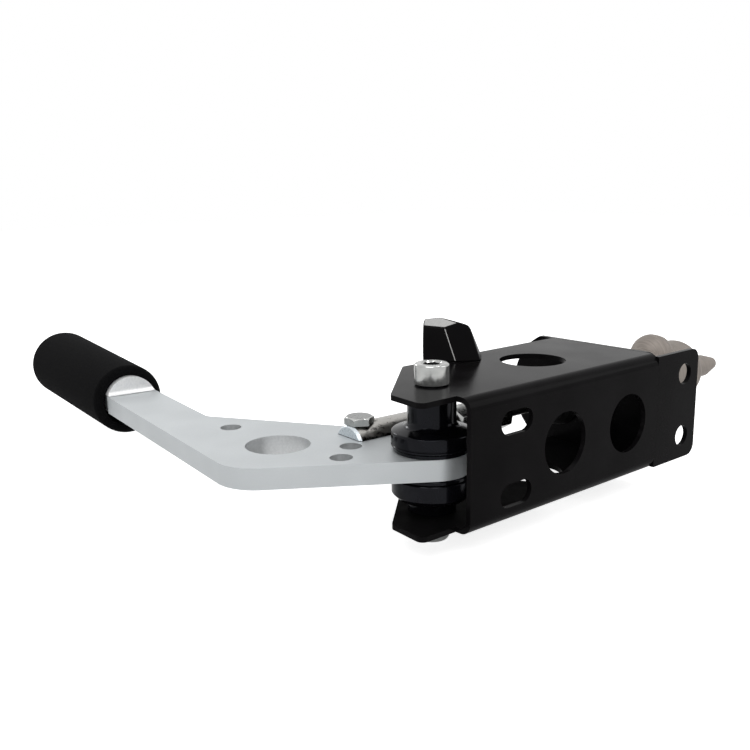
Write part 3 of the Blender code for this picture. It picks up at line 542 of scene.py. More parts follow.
def soften(piece, width, segments=2, angle=35):
    """Breaks the sharp edges, then shades smooth without bending the light on flat faces."""
    if width:
        modify(piece, "BEVEL", width=width * MM, segments=segments, limit_method="ANGLE",
               angle_limit=math.radians(angle), use_clamp_overlap=True)
    only(piece)
    bpy.ops.object.shade_smooth_by_angle(angle=math.radians(angle))
    modify(piece, "WEIGHTED_NORMAL", keep_sharp=True)
    return piece


def two_finishes(piece, first, second, picked):
    """Gives a piece both finishes, the second one on the faces that a test picks."""
    piece.data.materials.append(first)
    piece.data.materials.append(second)
    for face in piece.data.polygons:
        face.material_index = int(picked(face))


def hand_over(piece, finish, body, slot, *nodes):
    """Gives a piece its finish, the body that carries it and the CAD nodes that it stands for."""
    if not piece.data.materials:
        piece.data.materials.append(finish)
    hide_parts(*nodes)
    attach(piece, body)
    size = [round(edge / MM, 1) for edge in piece.dimensions]
    print("%s: %s mm, %d faces" % (piece.name, size, len(piece.data.polygons)))
    return piece


# %% [markdown]
# ## The folded channel
#
# The channel is 2.5 mm sheet: holes are punched in the flat blank, which is then folded twice. Here
# it starts as a box. Its open sides are deleted, the two folds are bevelled to the outside radius of
# the bend, and Solidify gives the sheet its thickness. The outline of the flanges is cut with a
# plate of the plan's shape, and the tongue that runs on past them is joined on.

# %% Fold the channel
SHEET = 2.5
HALF_HEIGHT = 31.0
WEB_FACE = 32.2
FLANGE_BACK = 38.9
BEND_RADIUS = 6.0
WEB_LEFT, WEB_RIGHT = -7.5, 170.0
FLANGE_RIGHT = 132.7
TONGUE_HALF_HEIGHT = 30.0
EAR_LEFT, EAR_FRONT = -28.0, -23.3
EDGE_BREAK = 0.35


def rounded(corners, steps=8):
    """An outline from (x, y, radius) corners, each replaced by a tangent arc."""
    outline = []
    for k, (x, y, radius) in enumerate(corners):
        corner = Vector((x, y))
        if radius == 0:
            outline.append((x, y))
            continue
        back = (Vector(corners[k - 1][:2]) - corner).normalized()
        on = (Vector(corners[(k + 1) % len(corners)][:2]) - corner).normalized()
        half = back.angle(on) / 2
        middle = corner + (back + on).normalized() * radius / math.sin(half)
        first = corner + back * radius / math.tan(half) - middle
        last = corner + on * radius / math.tan(half) - middle
        sweep = last.angle_signed(first)
        begin = math.atan2(first.y, first.x)
        outline += arc(middle, radius, math.degrees(begin), math.degrees(begin + sweep), steps)
    return outline


channel = block((EAR_LEFT - 5, -WEB_FACE, -HALF_HEIGHT),
                (FLANGE_RIGHT + 5, FLANGE_BACK + 5, HALF_HEIGHT))
channel.name = "folded_channel"
only(channel, edit=True)
bpy.ops.mesh.select_mode(type="FACE")
bpy.ops.mesh.select_all(action="DESELECT")
bpy.ops.object.mode_set(mode="OBJECT")
for face in channel.data.polygons:
    face.select = abs(face.normal.x) > 0.9 or face.normal.y > 0.9
bpy.ops.object.mode_set(mode="EDIT")
bpy.ops.mesh.delete(type="FACE")
bpy.ops.mesh.select_mode(type="EDGE")
bpy.ops.mesh.select_all(action="DESELECT")
bpy.ops.object.mode_set(mode="OBJECT")
for edge in channel.data.edges:
    ends = [channel.data.vertices[v].co for v in edge.vertices]
    edge.select = all(end.y < 0 for end in ends) and abs(ends[0].z - ends[1].z) < MM
bpy.ops.object.mode_set(mode="EDIT")
bpy.ops.mesh.bevel(offset=BEND_RADIUS * MM, segments=14, affect="EDGES")
bpy.ops.object.mode_set(mode="OBJECT")
modify(channel, "SOLIDIFY", thickness=SHEET * MM, offset=-1, use_even_offset=True)

plan = plate("plan", rounded((
    (EAR_LEFT, EAR_FRONT, 3.5), (WEB_LEFT, EAR_FRONT, 0), (WEB_LEFT, -WEB_FACE - 5, 0),
    (FLANGE_RIGHT, -WEB_FACE - 5, 0), (FLANGE_RIGHT, FLANGE_BACK, 0),
    (16.8, FLANGE_BACK, 3.5), (EAR_LEFT + 1.5, -2.0, 3.5))),
    -HALF_HEIGHT - 5, HALF_HEIGHT + 5)
carve(channel, plan, "INTERSECT")
print("folded sheet: %d faces" % len(channel.data.polygons))

# %% [markdown]
# The tongue is a plain plate as thick as the sheet. Then the holes: two slots and two round holes
# that bolt the channel down, two large ones in the web and one in each flange that only save
# weight, and the pivot's own. Last, every edge is broken by a third of a millimetre, because powder
# coat never leaves a sharp one, and that thin line is what catches the light.

# %% Tongue, holes and edges
WEB_BACK = -WEB_FACE + SHEET
FACING_WEB = Matrix(((1, 0, 0, 0), (0, 0, 1, 0), (0, -1, 0, 0), (0, 0, 0, 1)))
UPRIGHT = Matrix(((1, 0, 0, 0), (0, 0, 1, 0), (0, 1, 0, 0), (0, 0, 0, 1)))
SLOTS = ((22.1, 16.1), (22.1, -17.9))
SLOT_HALF, SLOT_RADIUS = 4.9, 5.55
WEB_HOLES = ((56.6, -0.9), (106.7, -0.9))
WEB_HOLE_RADIUS = 15.2
FIXINGS = ((157.3, 17.3), (157.3, -17.3))
FIXING_RADIUS = 5.8
FLANGE_HOLE = (75.6, 5.2)
FLANGE_HOLE_RADIUS = 16.7
PIVOT_BORE = 5.2

tongue = plate("tongue", rounded((
    (FLANGE_RIGHT - 1, -TONGUE_HALF_HEIGHT, 0), (WEB_RIGHT, -TONGUE_HALF_HEIGHT, 6),
    (WEB_RIGHT, TONGUE_HALF_HEIGHT, 6), (FLANGE_RIGHT - 1, TONGUE_HALF_HEIGHT, 0))),
    -WEB_FACE, WEB_BACK)
carve(channel, put(tongue, UPRIGHT), "UNION")


def thinly_coated(face):
    """The inner faces of both flanges, and the back of the web."""
    x, y, z = face.center / MM
    turned_in = face.normal.z * z < -0.2 * abs(z)
    of_flange = abs(z) < HALF_HEIGHT - SHEET + 0.05 and turned_in and y > WEB_BACK
    return of_flange or (face.normal.y > 0.7 and y < WEB_BACK + 0.05)


for x, z in SLOTS:
    outline = arc((SLOT_HALF, 0), SLOT_RADIUS, -90, 90, 24) + arc((-SLOT_HALF, 0), SLOT_RADIUS, 90, 270, 24)
    slot = plate("slot", outline, -WEB_FACE - 3, WEB_BACK + 3)
    carve(channel, put(slot, shift(x, 0, z) @ FACING_WEB))
for spots, radius in ((WEB_HOLES, WEB_HOLE_RADIUS), (FIXINGS, FIXING_RADIUS)):
    for x, z in spots:
        carve(channel, cylinder(radius, -WEB_FACE - 3, WEB_BACK + 3, shift(x, 0, z) @ FACING_WEB))
reach = HALF_HEIGHT + 3
carve(channel, cylinder(FLANGE_HOLE_RADIUS, -reach, reach, shift(*FLANGE_HOLE)))
carve(channel, cylinder(PIVOT_BORE, -reach, reach))
soften(channel, EDGE_BREAK)
two_finishes(channel, powder_coat, thin_coat, thinly_coated)
put(channel, from_pivot())
hand_over(channel, powder_coat, "frame", "black_paint", "channel_bracket")

# %% [markdown]
# ## The end plate
#
# A round-backed plate closes the channel's end and carries the cylinder. Its round back stands out
# past the flanges. It is drawn flat, extruded, drilled and turned so that its thickness runs along X.

# %% End plate
GAP = 0.3
PLATE_INSIDE, PLATE_OUTSIDE = FLANGE_RIGHT + GAP, FLANGE_RIGHT + GAP + 3.0
ROUND_Y, ROUND_RADIUS, CORNER = 33.0, HALF_HEIGHT + 3.5, 7.0
OVAL_HALF, SPIGOT_HOLE = 28.5, 13.0
BOLT_8 = 3.9
BORE_8 = BOLT_8 + GAP

lean = math.degrees(math.asin(HALF_HEIGHT / ROUND_RADIUS))
front = WEB_BACK + GAP + CORNER
outline = arc((ROUND_Y, 0), ROUND_RADIUS, -lean, lean, 48)
outline += arc((front, HALF_HEIGHT - CORNER), CORNER, 90, 180)
outline += arc((front, CORNER - HALF_HEIGHT), CORNER, 180, 270)
end_plate = plate("closing_plate", outline, PLATE_INSIDE, PLATE_OUTSIDE)
put(end_plate, ALONG_X)
for offset, radius in ((0, SPIGOT_HOLE), (-OVAL_HALF, BORE_8), (OVAL_HALF, BORE_8)):
    tool = shift(0, BALL[1] + offset, LEVER_MIDDLE) @ ALONG_X
    carve(end_plate, cylinder(radius, PLATE_INSIDE - 2, PLATE_OUTSIDE + 2, tool))
soften(end_plate, EDGE_BREAK)
put(end_plate, from_pivot())
hand_over(end_plate, powder_coat, "frame", "black_paint", "end_plate")

# %% [markdown]
# ## The stop block
#
# A lump with leaning faces stands on the upper flange. Twelve corners are enough: they are drawn as
# one chain and wrapped with Convex Hull, as shrink wrap would. Its crown shows bare ground metal, so
# that face takes a second material. So does the middle strip of one upright corner's bevel, as a
# painted highlight along that edge.

# %% Stop block
FOOT = ((30.0, 38.8), (42.7, 27.5), (54.1, 21.1), (61.5, 27.0), (60.5, 38.0), (34.0, 38.6))
CROWN = ((34.49, 42.94, 48.88), (42.44, 35.37, 47.80), (49.96, 32.15, 49.93),
         (54.12, 29.31, 48.85), (44.21, 40.28, 52.84), (37.04, 45.07, 52.18))
corners = [(x, y, HALF_HEIGHT + GAP) for x, y in FOOT]
stop = draw("stop_lump", corners + list(CROWN))
bpy.ops.mesh.convex_hull()
bpy.ops.mesh.dissolve_limited(angle_limit=math.radians(2))
bpy.ops.object.mode_set(mode="OBJECT")
# The second number is half the width of the painted highlight strip along one upright corner.
BLOCK_EDGE, HIGHLIGHT_HALF = 0.6, 0.2
soften(stop, BLOCK_EDGE, 3, 8)
highlight_corner = Vector(corners[1]) * MM, Vector(CROWN[1]) * MM


def lightened(face):
    """The large face on top, and the thin strip of painted highlight along one corner."""
    nearest, share = intersect_point_line(face.center, *highlight_corner)
    # Faces along that corner take the bare metal as a painted highlight.
    highlighted = (face.center - nearest).length < HIGHLIGHT_HALF * MM and 0.03 < share < 0.97
    return highlighted or (face.normal.z > 0.7 and face.area > MM ** 2 * 20)


two_finishes(stop, powder_coat, ground_steel_and_highlight, lightened)
print("bare faces on the block:", sum(face.material_index for face in stop.data.polygons))
put(stop, from_pivot())
hand_over(stop, powder_coat, "frame", "black_paint", "stop_block")

# %% [markdown]
# ## Screws and nuts
#
# The pivot is a socket screw 10 mm thick. Its head is spun, and the socket is a six-sided tool
# pressed into it. A hexagon nut or head is a hexagonal plate whose corners are rounded off: crossing
# it with a spun disc, whose rim slopes, gives the curved facets that real ones have. The threads
# that show are rings as deep as the real thread, because a ring and a helix look alike this small.

# %% Screw helpers
HEX_INNER, HEX_SLOPE = 0.45, 0.58
HEX_8, NUT_8, PITCH_8, DEPTH_8, TAIL_8 = 13.0, 6.5, 1.25, 0.6, 8.0


def hexagon(flats):
    return [(flats / math.sqrt(3) * math.cos(math.radians(60 * k + 30)),
             flats / math.sqrt(3) * math.sin(math.radians(60 * k + 30))) for k in range(6)]


def hex_body(name, flats, low, high, top=True, bottom=True, bore=0):
    """A hexagon with its corners rounded off at the ends that are asked for."""
    piece = plate(name, hexagon(flats), low, high)
    wide, inner = flats / math.sqrt(3) + 0.05, flats * HEX_INNER
    slope = (wide - inner) * HEX_SLOPE
    profile = [(0, high), (inner, high), (wide, high - slope)] if top else [(0, high + 1), (wide, high + 1)]
    profile += [(wide, low + slope), (inner, low), (0, low)] if bottom else [(wide, low - 1), (0, low - 1)]
    carve(piece, spin("disc", profile), "INTERSECT")
    if bore:
        carve(piece, cylinder(bore, low - 2, high + 2))
    return piece


def thread(radius, low, high, pitch, depth):
    """The wavy profile of a thread, from its top down."""
    count = int((high - low) / pitch)
    points = [(radius, high)]
    for k in range(count):
        top = high - k * pitch
        points += [(radius - depth, top - pitch * 0.5), (radius, top - pitch * 0.95)]
    return points + [(radius, low)]


def screw_8(name, low, head, threaded, end):
    """A hexagon screw: its head upwards from low, a plain neck, then a thread down to its end."""
    piece = hex_body(name, HEX_8, low, low + head, True, False)
    shank = [(0, low + 0.5), (BOLT_8, low + 0.5), (BOLT_8, threaded)]
    shank += thread(BOLT_8, end + DEPTH_8, threaded, PITCH_8, DEPTH_8)[1:]
    shank += [(BOLT_8 - DEPTH_8, end), (0, end)]
    return carve(piece, spin("shank", shank), "UNION")


def fit(piece, where, body, node):
    """Breaks the edges of a screw or nut, puts it in its place and hands it over."""
    soften(piece, 0.15, 2, 30)
    put(piece, where)
    hand_over(piece, zinc_plate, body, "zinc_steel", node)


# %% Pivot screw
BOLT, SOCKET, SOCKET_DEPTH = 4.9, 8.0, 5
HEAD_RADIUS, HEAD_LOW, HEAD_HIGH, HEAD_ROUND = 8.0, HALF_HEIGHT + GAP, HALF_HEIGHT + GAP + 9.8, 1.1
NUT_TOP = -HALF_HEIGHT - GAP
NUT_LOW = NUT_TOP - 11.4
SCREW_END = NUT_TOP - 11.5

profile = [(0, HEAD_HIGH), (HEAD_RADIUS - HEAD_ROUND, HEAD_HIGH)]
profile += arc((HEAD_RADIUS - HEAD_ROUND, HEAD_HIGH - HEAD_ROUND), HEAD_ROUND, 75, 0, 6)
profile += [(HEAD_RADIUS, HEAD_LOW + 0.5), (HEAD_RADIUS - 0.4, HEAD_LOW), (BOLT, HEAD_LOW)]
profile += thread(BOLT, SCREW_END + 0.8, NUT_TOP + 8, 1.5, 0.75) + [(BOLT - 0.8, SCREW_END), (0, SCREW_END)]
screw = spin("socket_screw", profile)
carve(screw, plate("socket", hexagon(SOCKET), HEAD_HIGH - SOCKET_DEPTH, HEAD_HIGH + 1))
carve(screw, spin("cone", [(0, HEAD_HIGH + 0.5), (5.4, HEAD_HIGH + 0.5), (4.2, HEAD_HIGH - 0.7),
                           (0, HEAD_HIGH - 0.7)]))
soften(screw, 0.12, 2, 30)
put(screw, from_pivot())
hand_over(screw, zinc_plate, "frame", "zinc_steel", "pivot_bolt")

# %% Pivot nut
NUT_FLATS, COLLAR, COLLAR_ROUND, COLLAR_HEIGHT = 16.0, 8.2, 2.2, 4.8
nut = hex_body("locking_nut", NUT_FLATS, NUT_LOW + 4.0, NUT_TOP, True, False)
collar = [(0, NUT_LOW), (COLLAR - COLLAR_ROUND, NUT_LOW)]
collar += arc((COLLAR - COLLAR_ROUND, NUT_LOW + COLLAR_ROUND), COLLAR_ROUND, -90, 0, 8)[1:]
carve(nut, spin("collar", collar + [(COLLAR, NUT_LOW + COLLAR_HEIGHT),
                                    (0, NUT_LOW + COLLAR_HEIGHT)]), "UNION")
carve(nut, cylinder(PIVOT_BORE, NUT_LOW - 2, NUT_TOP + 2))
fit(nut, from_pivot(), "frame", "pivot_nut")

# %% [markdown]
# ## Spacers on the pivot
#
# Two turned spacers hold the lever between the flanges. Each has a slim neck and a broad rim that
# bears on the lever through a thin washer. The upper one's hollow shoulder catches bright spots of
# light, so its curve is drawn with many points.

# %% Spacers, washers and bush
LEVER_HALF = 5.0
LEVER_TOP, LEVER_BOTTOM = LEVER_MIDDLE + LEVER_HALF, LEVER_MIDDLE - LEVER_HALF
WASHER, WASHER_RADIUS = 1.7, 18.0
RIM, NECK, BUSH_WALL = 18.8, 11.3, 1.8
SHOULDER = LEVER_TOP + 9.8
ROOF = HALF_HEIGHT - SHEET - GAP
FOOT_LEVEL = LEVER_TOP + GAP + WASHER + GAP

upper = [(PIVOT_BORE, ROOF), (NECK, ROOF), (NECK, SHOULDER + 4.6)]
upper += arc((NECK + 3.6, SHOULDER + 4.6), 3.6, 180, 248, 12)[1:]
upper += arc((RIM - 1.3, SHOULDER - 1.3), 1.3, 70, 0, 8)
upper += [(RIM - inward, FOOT_LEVEL + rise) for inward, rise in (
    (0, 1.7), (0.35, 1.45), (0.35, 1.15), (0, 0.9), (0, 0.3), (0.3, 0))] + [(PIVOT_BORE, FOOT_LEVEL)]

HEAD_LEVEL = LEVER_BOTTOM - GAP - WASHER - GAP
LOWER_RIM = HEAD_LEVEL - 7.4
lower = [(PIVOT_BORE, HEAD_LEVEL), (RIM - 0.3, HEAD_LEVEL), (RIM, HEAD_LEVEL - 0.3), (RIM, LOWER_RIM)]
lower += [(RIM - 0.5, LOWER_RIM - 0.7), (RIM - 2.9, LOWER_RIM - 3.0), (RIM - 3.5, LOWER_RIM - 3.2)]
lower += arc((NECK + 1.0, LOWER_RIM - 4.2), 1.0, 90, 180, 6) + [(NECK, -ROOF), (PIVOT_BORE, -ROOF)]


def flat_ring(low):
    """The profile of a thrust washer, with its edges broken."""
    high, edge = low + WASHER, 0.25
    return [(PIVOT_BORE, high), (WASHER_RADIUS - edge, high), (WASHER_RADIUS, high - edge),
            (WASHER_RADIUS, low + edge), (WASHER_RADIUS - edge, low), (PIVOT_BORE, low)]


for name, profile, node in (
        ("upper_turned_spacer", upper, "upper_spacer"), ("lower_turned_spacer", lower, "lower_spacer"),
        ("upper_thin_washer", flat_ring(LEVER_TOP + GAP), "upper_thrust_washer"),
        ("lower_thin_washer", flat_ring(LEVER_BOTTOM - GAP - WASHER), "lower_thrust_washer")):
    turned = spin(name, profile, 128, closed=True)
    soften(turned, 0, angle=40)
    put(turned, from_pivot())
    hand_over(turned, black_anodised, "frame", "black_oxide", node)
bush = spin("plain_bush", [(PIVOT_BORE, LEVER_TOP), (PIVOT_BORE + BUSH_WALL, LEVER_TOP),
                           (PIVOT_BORE + BUSH_WALL, LEVER_BOTTOM), (PIVOT_BORE, LEVER_BOTTOM)],
            closed=True)
soften(bush, 0.2)
put(bush, from_pivot())
hand_over(bush, bronze, "lever", "bronze", "pivot_bush")

# %% [markdown]
# ## The lever
#
# The lever is sawn from 10 mm plate, blasted and anodised. Its outline runs round the pivot, out to a
# lobe for the fork's screw, along the arm and back over the knee. The circles are tangent to the
# straight edges, so each one's ends are worked out instead of guessed.

# %% Lever outline
PIVOT_END, LOBE, ARM_HALF, CORE = 17.4, 13.8, 14.5, 132.0
FRONT_EDGE, BACK_EDGE = 146.0, 122.6
KNEE_RADIUS, BACK_FILLET = 22.0, 8.0


def on_circle(centre, radius, degrees):
    return arc(centre, radius, degrees, degrees, 1)[0]


def meeting(point, degrees, other, other_degrees):
    """Where two lines cross, each given by a point and a direction."""
    a, b = Vector(on_circle((0, 0), 1, degrees)), Vector(on_circle((0, 0), 1, other_degrees))
    offset = Vector(other) - Vector(point)
    return Vector(point) + a * (offset.x * b.y - offset.y * b.x) / (a.x * b.y - a.y * b.x)


side = Vector(on_circle((0, 0), 1, ARM_ANGLE - 90))
onward = Vector(on_circle((0, 0), 1, ARM_ANGLE))
mouth = Vector(ARM_POINT)
front_start = on_circle((0, 0), PIVOT_END, FRONT_EDGE + 90)
back_start = on_circle(FORK_BOLT, LOBE, BACK_EDGE - 90)
knee = meeting(front_start, FRONT_EDGE, mouth - side * ARM_HALF, ARM_ANGLE)
inner = meeting(back_start, BACK_EDGE, mouth + side * ARM_HALF, ARM_ANGLE)
lean = math.degrees(math.acos((PIVOT_END - LOBE) / math.hypot(*FORK_BOLT)))
tangent = math.degrees(math.atan2(FORK_BOLT[1], FORK_BOLT[0])) - lean
narrow = math.sqrt(ARM_HALF ** 2 - LEVER_HALF ** 2) - GAP
step = mouth - onward * GAP * 2
outline = arc((0, 0), PIVOT_END, FRONT_EDGE + 90 - 360, tangent, 64)
outline += arc(FORK_BOLT, LOBE, tangent, BACK_EDGE - 90, 24)
outline += rounded((
    (*back_start, 0), (*inner, BACK_FILLET), (*(step + side * ARM_HALF), 0), (*(step + side * narrow), 0),
    (*(mouth + side * narrow + onward * CORE), 3), (*(mouth - side * narrow + onward * CORE), 3),
    (*(step - side * narrow), 0), (*(step - side * ARM_HALF), 0), (*knee, KNEE_RADIUS),
    (*front_start, 0)), 24)[1:-1]
lever = plate("lever_arm", outline, LEVER_BOTTOM, LEVER_TOP)

# %% Lever holes
BIG_HOLE, SMALL_HOLES = (-48.8, 53.9), ((-49.6, 95.5), (-38.9, 17.8), (-24.9, 28.6))
BIG_RADIUS, SMALL_RADIUS, RIVET_BORE = 15.5, 5.3, 2.8
RIVETS = (19.8, 66.0, 112.2)


def lever_hole(x, y, radius):
    carve(lever, cylinder(radius, LEVER_BOTTOM - 3, LEVER_TOP + 3, shift(x, y)))


def bored(face):
    """The walls of the holes that stay empty."""
    return abs(face.normal.z) < 0.9 and any(
        (face.center.xy - Vector(spot) * MM).length < (radius + 0.1) * MM for spot, radius in open_holes)


open_holes = [(BIG_HOLE, BIG_RADIUS)] + [(spot, SMALL_RADIUS) for spot in SMALL_HOLES]
for spot, radius in open_holes:
    lever_hole(*spot, radius)
lever_hole(*FORK_BOLT, BORE_8)
lever_hole(0, 0, PIVOT_BORE + BUSH_WALL + GAP)
for distance in RIVETS:
    lever_hole(*(mouth + onward * distance), RIVET_BORE)
soften(lever, 0.4, 3)
two_finishes(lever, satin_aluminium, bored_aluminium, bored)
put(lever, from_pivot())
hand_over(lever, satin_aluminium, "lever", "brushed_aluminium", "lever_plate")

# %% [markdown]
# ## The grip
#
# Two half-round cheeks are riveted to the lever's tongue and make a round core for the foam. Where
# the core starts, its faced end stands on the lever with a small hollow fillet: that bright half
# moon shows in the mouth of the grip. The foam is one closed turned shape, with a soft lip at the
# mouth and a rounded end.

# %% Core cheeks and rivets
CORE_RADIUS, FILLET = 15.0, 2.6
ACROSS = Matrix.Rotation(math.radians(90), 4, "X")
low = LEVER_HALF + GAP
edge = math.degrees(math.asin(low / CORE_RADIUS))
for name, up_side, node in (("upper_core_cheek", 1, "upper_grip_cheek"),
                            ("lower_core_cheek", -1, "lower_grip_cheek")):
    half_moon = [(x, up_side * y) for x, y in arc((0, 0), CORE_RADIUS, edge, 180 - edge, 48)]
    cheek = plate(name, half_moon, 0, CORE)
    hollow = [(0, low)] + arc((-FILLET, low + FILLET), FILLET, -90, 0, 10)
    foot = plate("foot", hollow, -CORE_RADIUS, CORE_RADIUS)
    put(foot, Matrix(((0, 0, 1, 0), (0, up_side, 0, 0), (1, 0, 0, 0), (0, 0, 0, 1))))
    only(foot, edit=True)
    bpy.ops.mesh.normals_make_consistent(inside=False)
    bpy.ops.object.mode_set(mode="OBJECT")
    carve(foot, plate("half_moon", half_moon, -FILLET - 1, 0.4), "INTERSECT")
    carve(cheek, foot, "UNION")
    merge_flat(cheek)
    put(cheek, ON_ARM)
    for distance in RIVETS:
        carve(cheek, cylinder(RIVET_BORE, -40, 40, ON_ARM @ shift(0, 0, distance) @ ACROSS, 32))
    soften(cheek, 0.3)
    hand_over(cheek, bright_aluminium, "lever", "brushed_aluminium", node)
print("core: two cheeks, %.0f mm long" % CORE)

# %% Foam grip
GRIP_START, GRIP_END, MOUTH_RADIUS, FAR_RADIUS, LIP, END = 3.0, 151.5, 20.6, 22.4, 5.0, 9.0
profile = [(0, GRIP_END)] + arc((FAR_RADIUS - END, GRIP_END - END), END, 90, 0, 20)
profile += arc((MOUTH_RADIUS - LIP, GRIP_START + LIP), LIP, 0, -80, 16)
profile += arc((CORE_RADIUS + GAP + 0.8, GRIP_START + 0.8), 0.8, -100, -180, 6)
profile += [(CORE_RADIUS + GAP, CORE + GAP), (0, CORE + GAP)]
grip = spin("foam_sleeve", profile, 160)
soften(grip, 0, angle=50)
put(grip, ON_ARM)
hand_over(grip, foam, "lever", "foam", "foam_grip")

# %% [markdown]
# ## The fork and the push rod
#
# The fork is a turned bar with a slot sawn across it, flats milled where its screw sits, and a cross
# hole. The push rod screws into it behind a lock nut, a long hexagon sets the length, and its ball
# end sits in the piston.

# %% Fork
FORK, NOSE, FORK_END, FORK_SLOT, FLAT, SPOT_FACE, CHAMFER = 11.3, -6.8, 45.0, 20.5, 10.7, 9.3, 1.2
profile = [(0, FORK_END), (FORK - CHAMFER, FORK_END), (FORK, FORK_END - CHAMFER),
           (FORK, NOSE + CHAMFER), (FORK - CHAMFER, NOSE), (0, NOSE)]
fork = spin("turned_fork", profile, 128)
half = LEVER_HALF + GAP
carve(fork, block((-20, -half, NOSE - 5), (20, half, FORK_SLOT)))
carve(fork, cylinder(BORE_8, -20, 20, ACROSS))
for low, high in ((FLAT, 20), (-20, -FLAT)):
    carve(fork, cylinder(SPOT_FACE, low, high, ACROSS))
carve(fork, cylinder(BORE_8, FORK_SLOT - 1, FORK_END + 2))
soften(fork, 0.3, 2, 30)
# The nose's end faces take the bright bluish steel, a painted reflection.
two_finishes(fork, turned_steel, faced_steel_painted_reflection,
             lambda face: face.normal.z < -0.6 and face.center.z < (NOSE + 2) * MM)
put(fork, ON_ROD)
hand_over(fork, turned_steel, "rod", "turned_steel", "clevis_fork")

# %% Fork screw and nuts
base, under = FLAT + GAP, -FLAT - GAP
ON_FORK_BOLT = from_pivot(*FORK_BOLT, LEVER_MIDDLE)
screw = screw_8("fork_screw", base, 4.0, under + 1, under - TAIL_8)
soften(screw, 0.15, 2, 30)
# Its top face takes the darker, duller zinc.
two_finishes(screw, zinc_plate, darker_top_zinc,
             lambda face: face.normal.z > 0.9 and face.center.z > (base + 3.5) * MM)
put(screw, ON_FORK_BOLT)
hand_over(screw, zinc_plate, "rod", "zinc_steel", "clevis_bolt")

for name, flats, low, high, place, node in (
        ("fork_screw_nut", HEX_8, under - NUT_8, under, ON_FORK_BOLT, "clevis_nut"),
        ("rod_lock_nut", HEX_8, FORK_END + GAP, FORK_END + GAP + 5.0, ON_ROD, "fork_lock_nut"),
        ("hex_adjuster", 17.0, 60.0, 98.0, ON_ROD, "rod_adjuster")):
    fit(hex_body(name, flats, low, high, True, True, BORE_8), place, "rod", node)

# %% Push rod
BALL_RADIUS = 4.8
profile = [(r, rod_length + h) for r, h in arc((0, 0), BALL_RADIUS, 90, -50, 24)]
profile[0] = (0, rod_length + BALL_RADIUS)
profile += [(3.0, rod_length - 5.5), (BOLT_8, rod_length - 7), (BOLT_8, 101.0)]
profile += thread(BOLT_8, 25.8, 101.0, PITCH_8, DEPTH_8)[1:] + [(3.2, 25.0), (0, 25.0)]
rod = spin("ball_ended_rod", profile, 64)
soften(rod, 0, angle=40)
put(rod, ON_ROD)
hand_over(rod, black_oxide, "rod", "black_oxide", "push_rod")

# %% [markdown]
# ## The master cylinder
#
# The cylinder is a die casting: an oval flange, a barrel that swells into a chest, a rounded lump
# with the port for the fluid bottle's hose, and a domed nose that a pipe adaptor screws into. The
# shapes are spun or drawn apart and joined, then the seams are rounded as a casting's are.

# %% Cylinder body
FLANGE_FACE = PLATE_OUTSIDE + GAP
FLANGE_END = FLANGE_FACE + 8.0
BARREL, CHEST, SPIGOT, BORE, BORE_END = 15.5, 19.4, 12.7, 9.9, 240.0
CHEST_START, CHEST_END, NOSE_X, NOSE_RADIUS = 208.0, 253.0, 262.0, 10.5
INLET_X, INLET_RADIUS, INLET_HALF, INLET_RISE = 227.0, 13.6, 13.5, 13.1
SEAT_X, SEAT_RADIUS, SEAT_SINK, PORT_RADIUS, PORT_SINK = INLET_X + 6, 5.5, 2.0, 3.6, 7
OVAL_EAR, OVAL_HUB = 9.0, 21.0

profile = [(0, NOSE_X)]
profile += [(NOSE_RADIUS + (CHEST - NOSE_RADIUS) * math.cos(math.radians(a)),
             CHEST_END + (NOSE_X - CHEST_END) * math.sin(math.radians(a))) for a in range(90, -1, -5)]
profile += [(CHEST, CHEST_START + 3), (BARREL, CHEST_START), (BARREL, FLANGE_END - 1),
            (SPIGOT, FLANGE_END - 1), (SPIGOT, FLANGE_FACE - 5), (0, FLANGE_FACE - 5)]
body = spin("cast_cylinder", profile, 128)
lean = math.degrees(math.acos((OVAL_HUB - OVAL_EAR) / OVAL_HALF))
oval = []
for side_x, turn in ((OVAL_HALF, 0), (-OVAL_HALF, 180)):
    oval += arc((side_x, 0), OVAL_EAR, turn - lean, turn + lean, 24)
    oval += arc((0, 0), OVAL_HUB, turn + lean, turn + 180 - lean, 16)
carve(body, plate("oval", oval, FLANGE_FACE, FLANGE_END), "UNION")
lump = spin("inlet_lump", [(INLET_RADIUS * math.sin(math.radians(a)),
                            INLET_X - INLET_HALF * math.cos(math.radians(a))) for a in range(0, 181, 5)])
carve(body, put(lump, shift(0, INLET_RISE)), "UNION")
upward = shift(0, 0, SEAT_X) @ Matrix.Rotation(math.radians(-90), 4, "X")
crest = INLET_RISE + INLET_RADIUS
for radius, sink in ((SEAT_RADIUS, SEAT_SINK), (PORT_RADIUS, PORT_SINK)):
    carve(body, cylinder(radius, crest - sink, crest + 10, upward, 64))
carve(body, cylinder(BORE, FLANGE_FACE - 8, BORE_END, sides=64))
for x in (-OVAL_HALF, OVAL_HALF):
    carve(body, cylinder(BORE_8, FLANGE_FACE - 3, FLANGE_END + 3, shift(x), 48))
soften(body, 0.8, 3, 30)
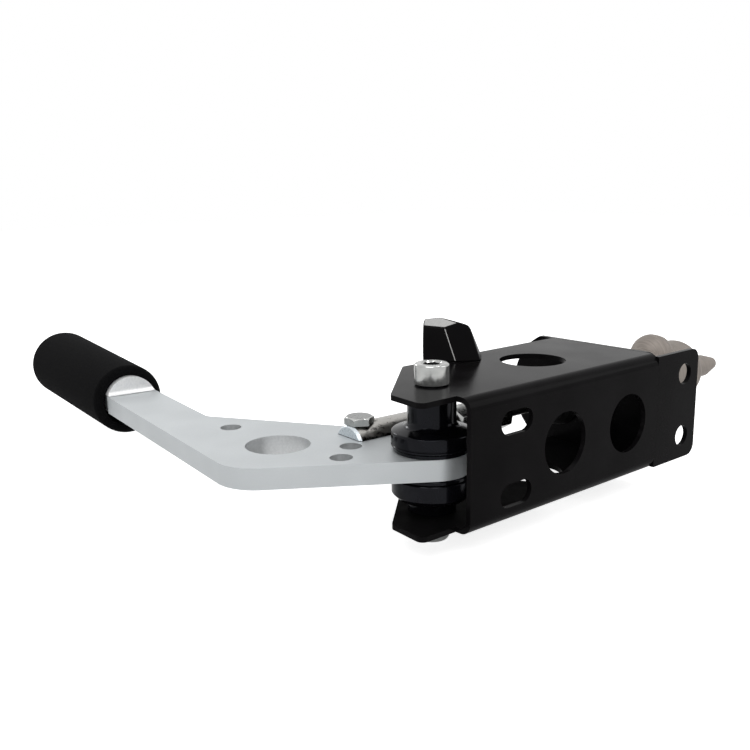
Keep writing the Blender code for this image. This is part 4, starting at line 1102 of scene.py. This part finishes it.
put(body, ON_CYLINDER)
hand_over(body, cast_alloy, "frame", "cast_alloy", "cylinder_body")

# %% Outlet adaptor
root, tip = NOSE_X + GAP, NOSE_X + GAP + 39.0
OUTLET_RADIUS, OUTLET_PLAIN, OUTLET_DROP = 7.3, 25.7, 2.6
profile = [(0, tip), (2.8, tip)] + arc((3.0, tip - 1.2), 1.2, 90, 10, 6)
profile += [(OUTLET_RADIUS, root + OUTLET_PLAIN), (OUTLET_RADIUS, root), (0, root)]
outlet = spin("pipe_adaptor", profile, 64)
soften(outlet, 0.3, 2, 20)
put(outlet, ON_CYLINDER @ shift(0, -OUTLET_DROP))
hand_over(outlet, cast_alloy, "frame", "cast_alloy", "outlet_adaptor")

# %% Cylinder screws and nuts
for k, x in enumerate((-OVAL_HALF, OVAL_HALF), 1):
    place = ON_CYLINDER @ shift(x)
    inside = PLATE_INSIDE - GAP
    screw = screw_8("flange_screw_%d" % k, FLANGE_END + GAP, 5.3, inside, inside - TAIL_8)
    fit(screw, place, "frame", "cylinder_bolt_%d" % k)
    nut = hex_body("flange_nut_%d" % k, HEX_8, inside - NUT_8, inside, True, True, BORE_8)
    fit(nut, place, "frame", "cylinder_nut_%d" % k)

# %% [markdown]
# ## What stays as the CAD has it
#
# The piston, its seals, the spring, the washer that holds them, the rivets and the boot are shut in
# or nearly so. Their CAD shapes are right, so they only take a finish.

# %% Finishes for the kept nodes
KEPT = {"piston": satin_aluminium, "rear_seal": rubber, "pressure_seal": rubber,
        "return_spring": zinc_plate, "retaining_washer": zinc_plate, "rod_boot": rubber,
        "grip_rivet_1": zinc_plate, "grip_rivet_2": zinc_plate, "grip_rivet_3": zinc_plate}
for node, finish in KEPT.items():
    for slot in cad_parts[node].material_slots:
        slot.material = finish
print("kept CAD nodes:", sorted(KEPT))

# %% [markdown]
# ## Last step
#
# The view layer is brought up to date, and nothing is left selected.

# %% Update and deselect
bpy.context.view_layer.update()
bpy.ops.object.select_all(action="DESELECT")
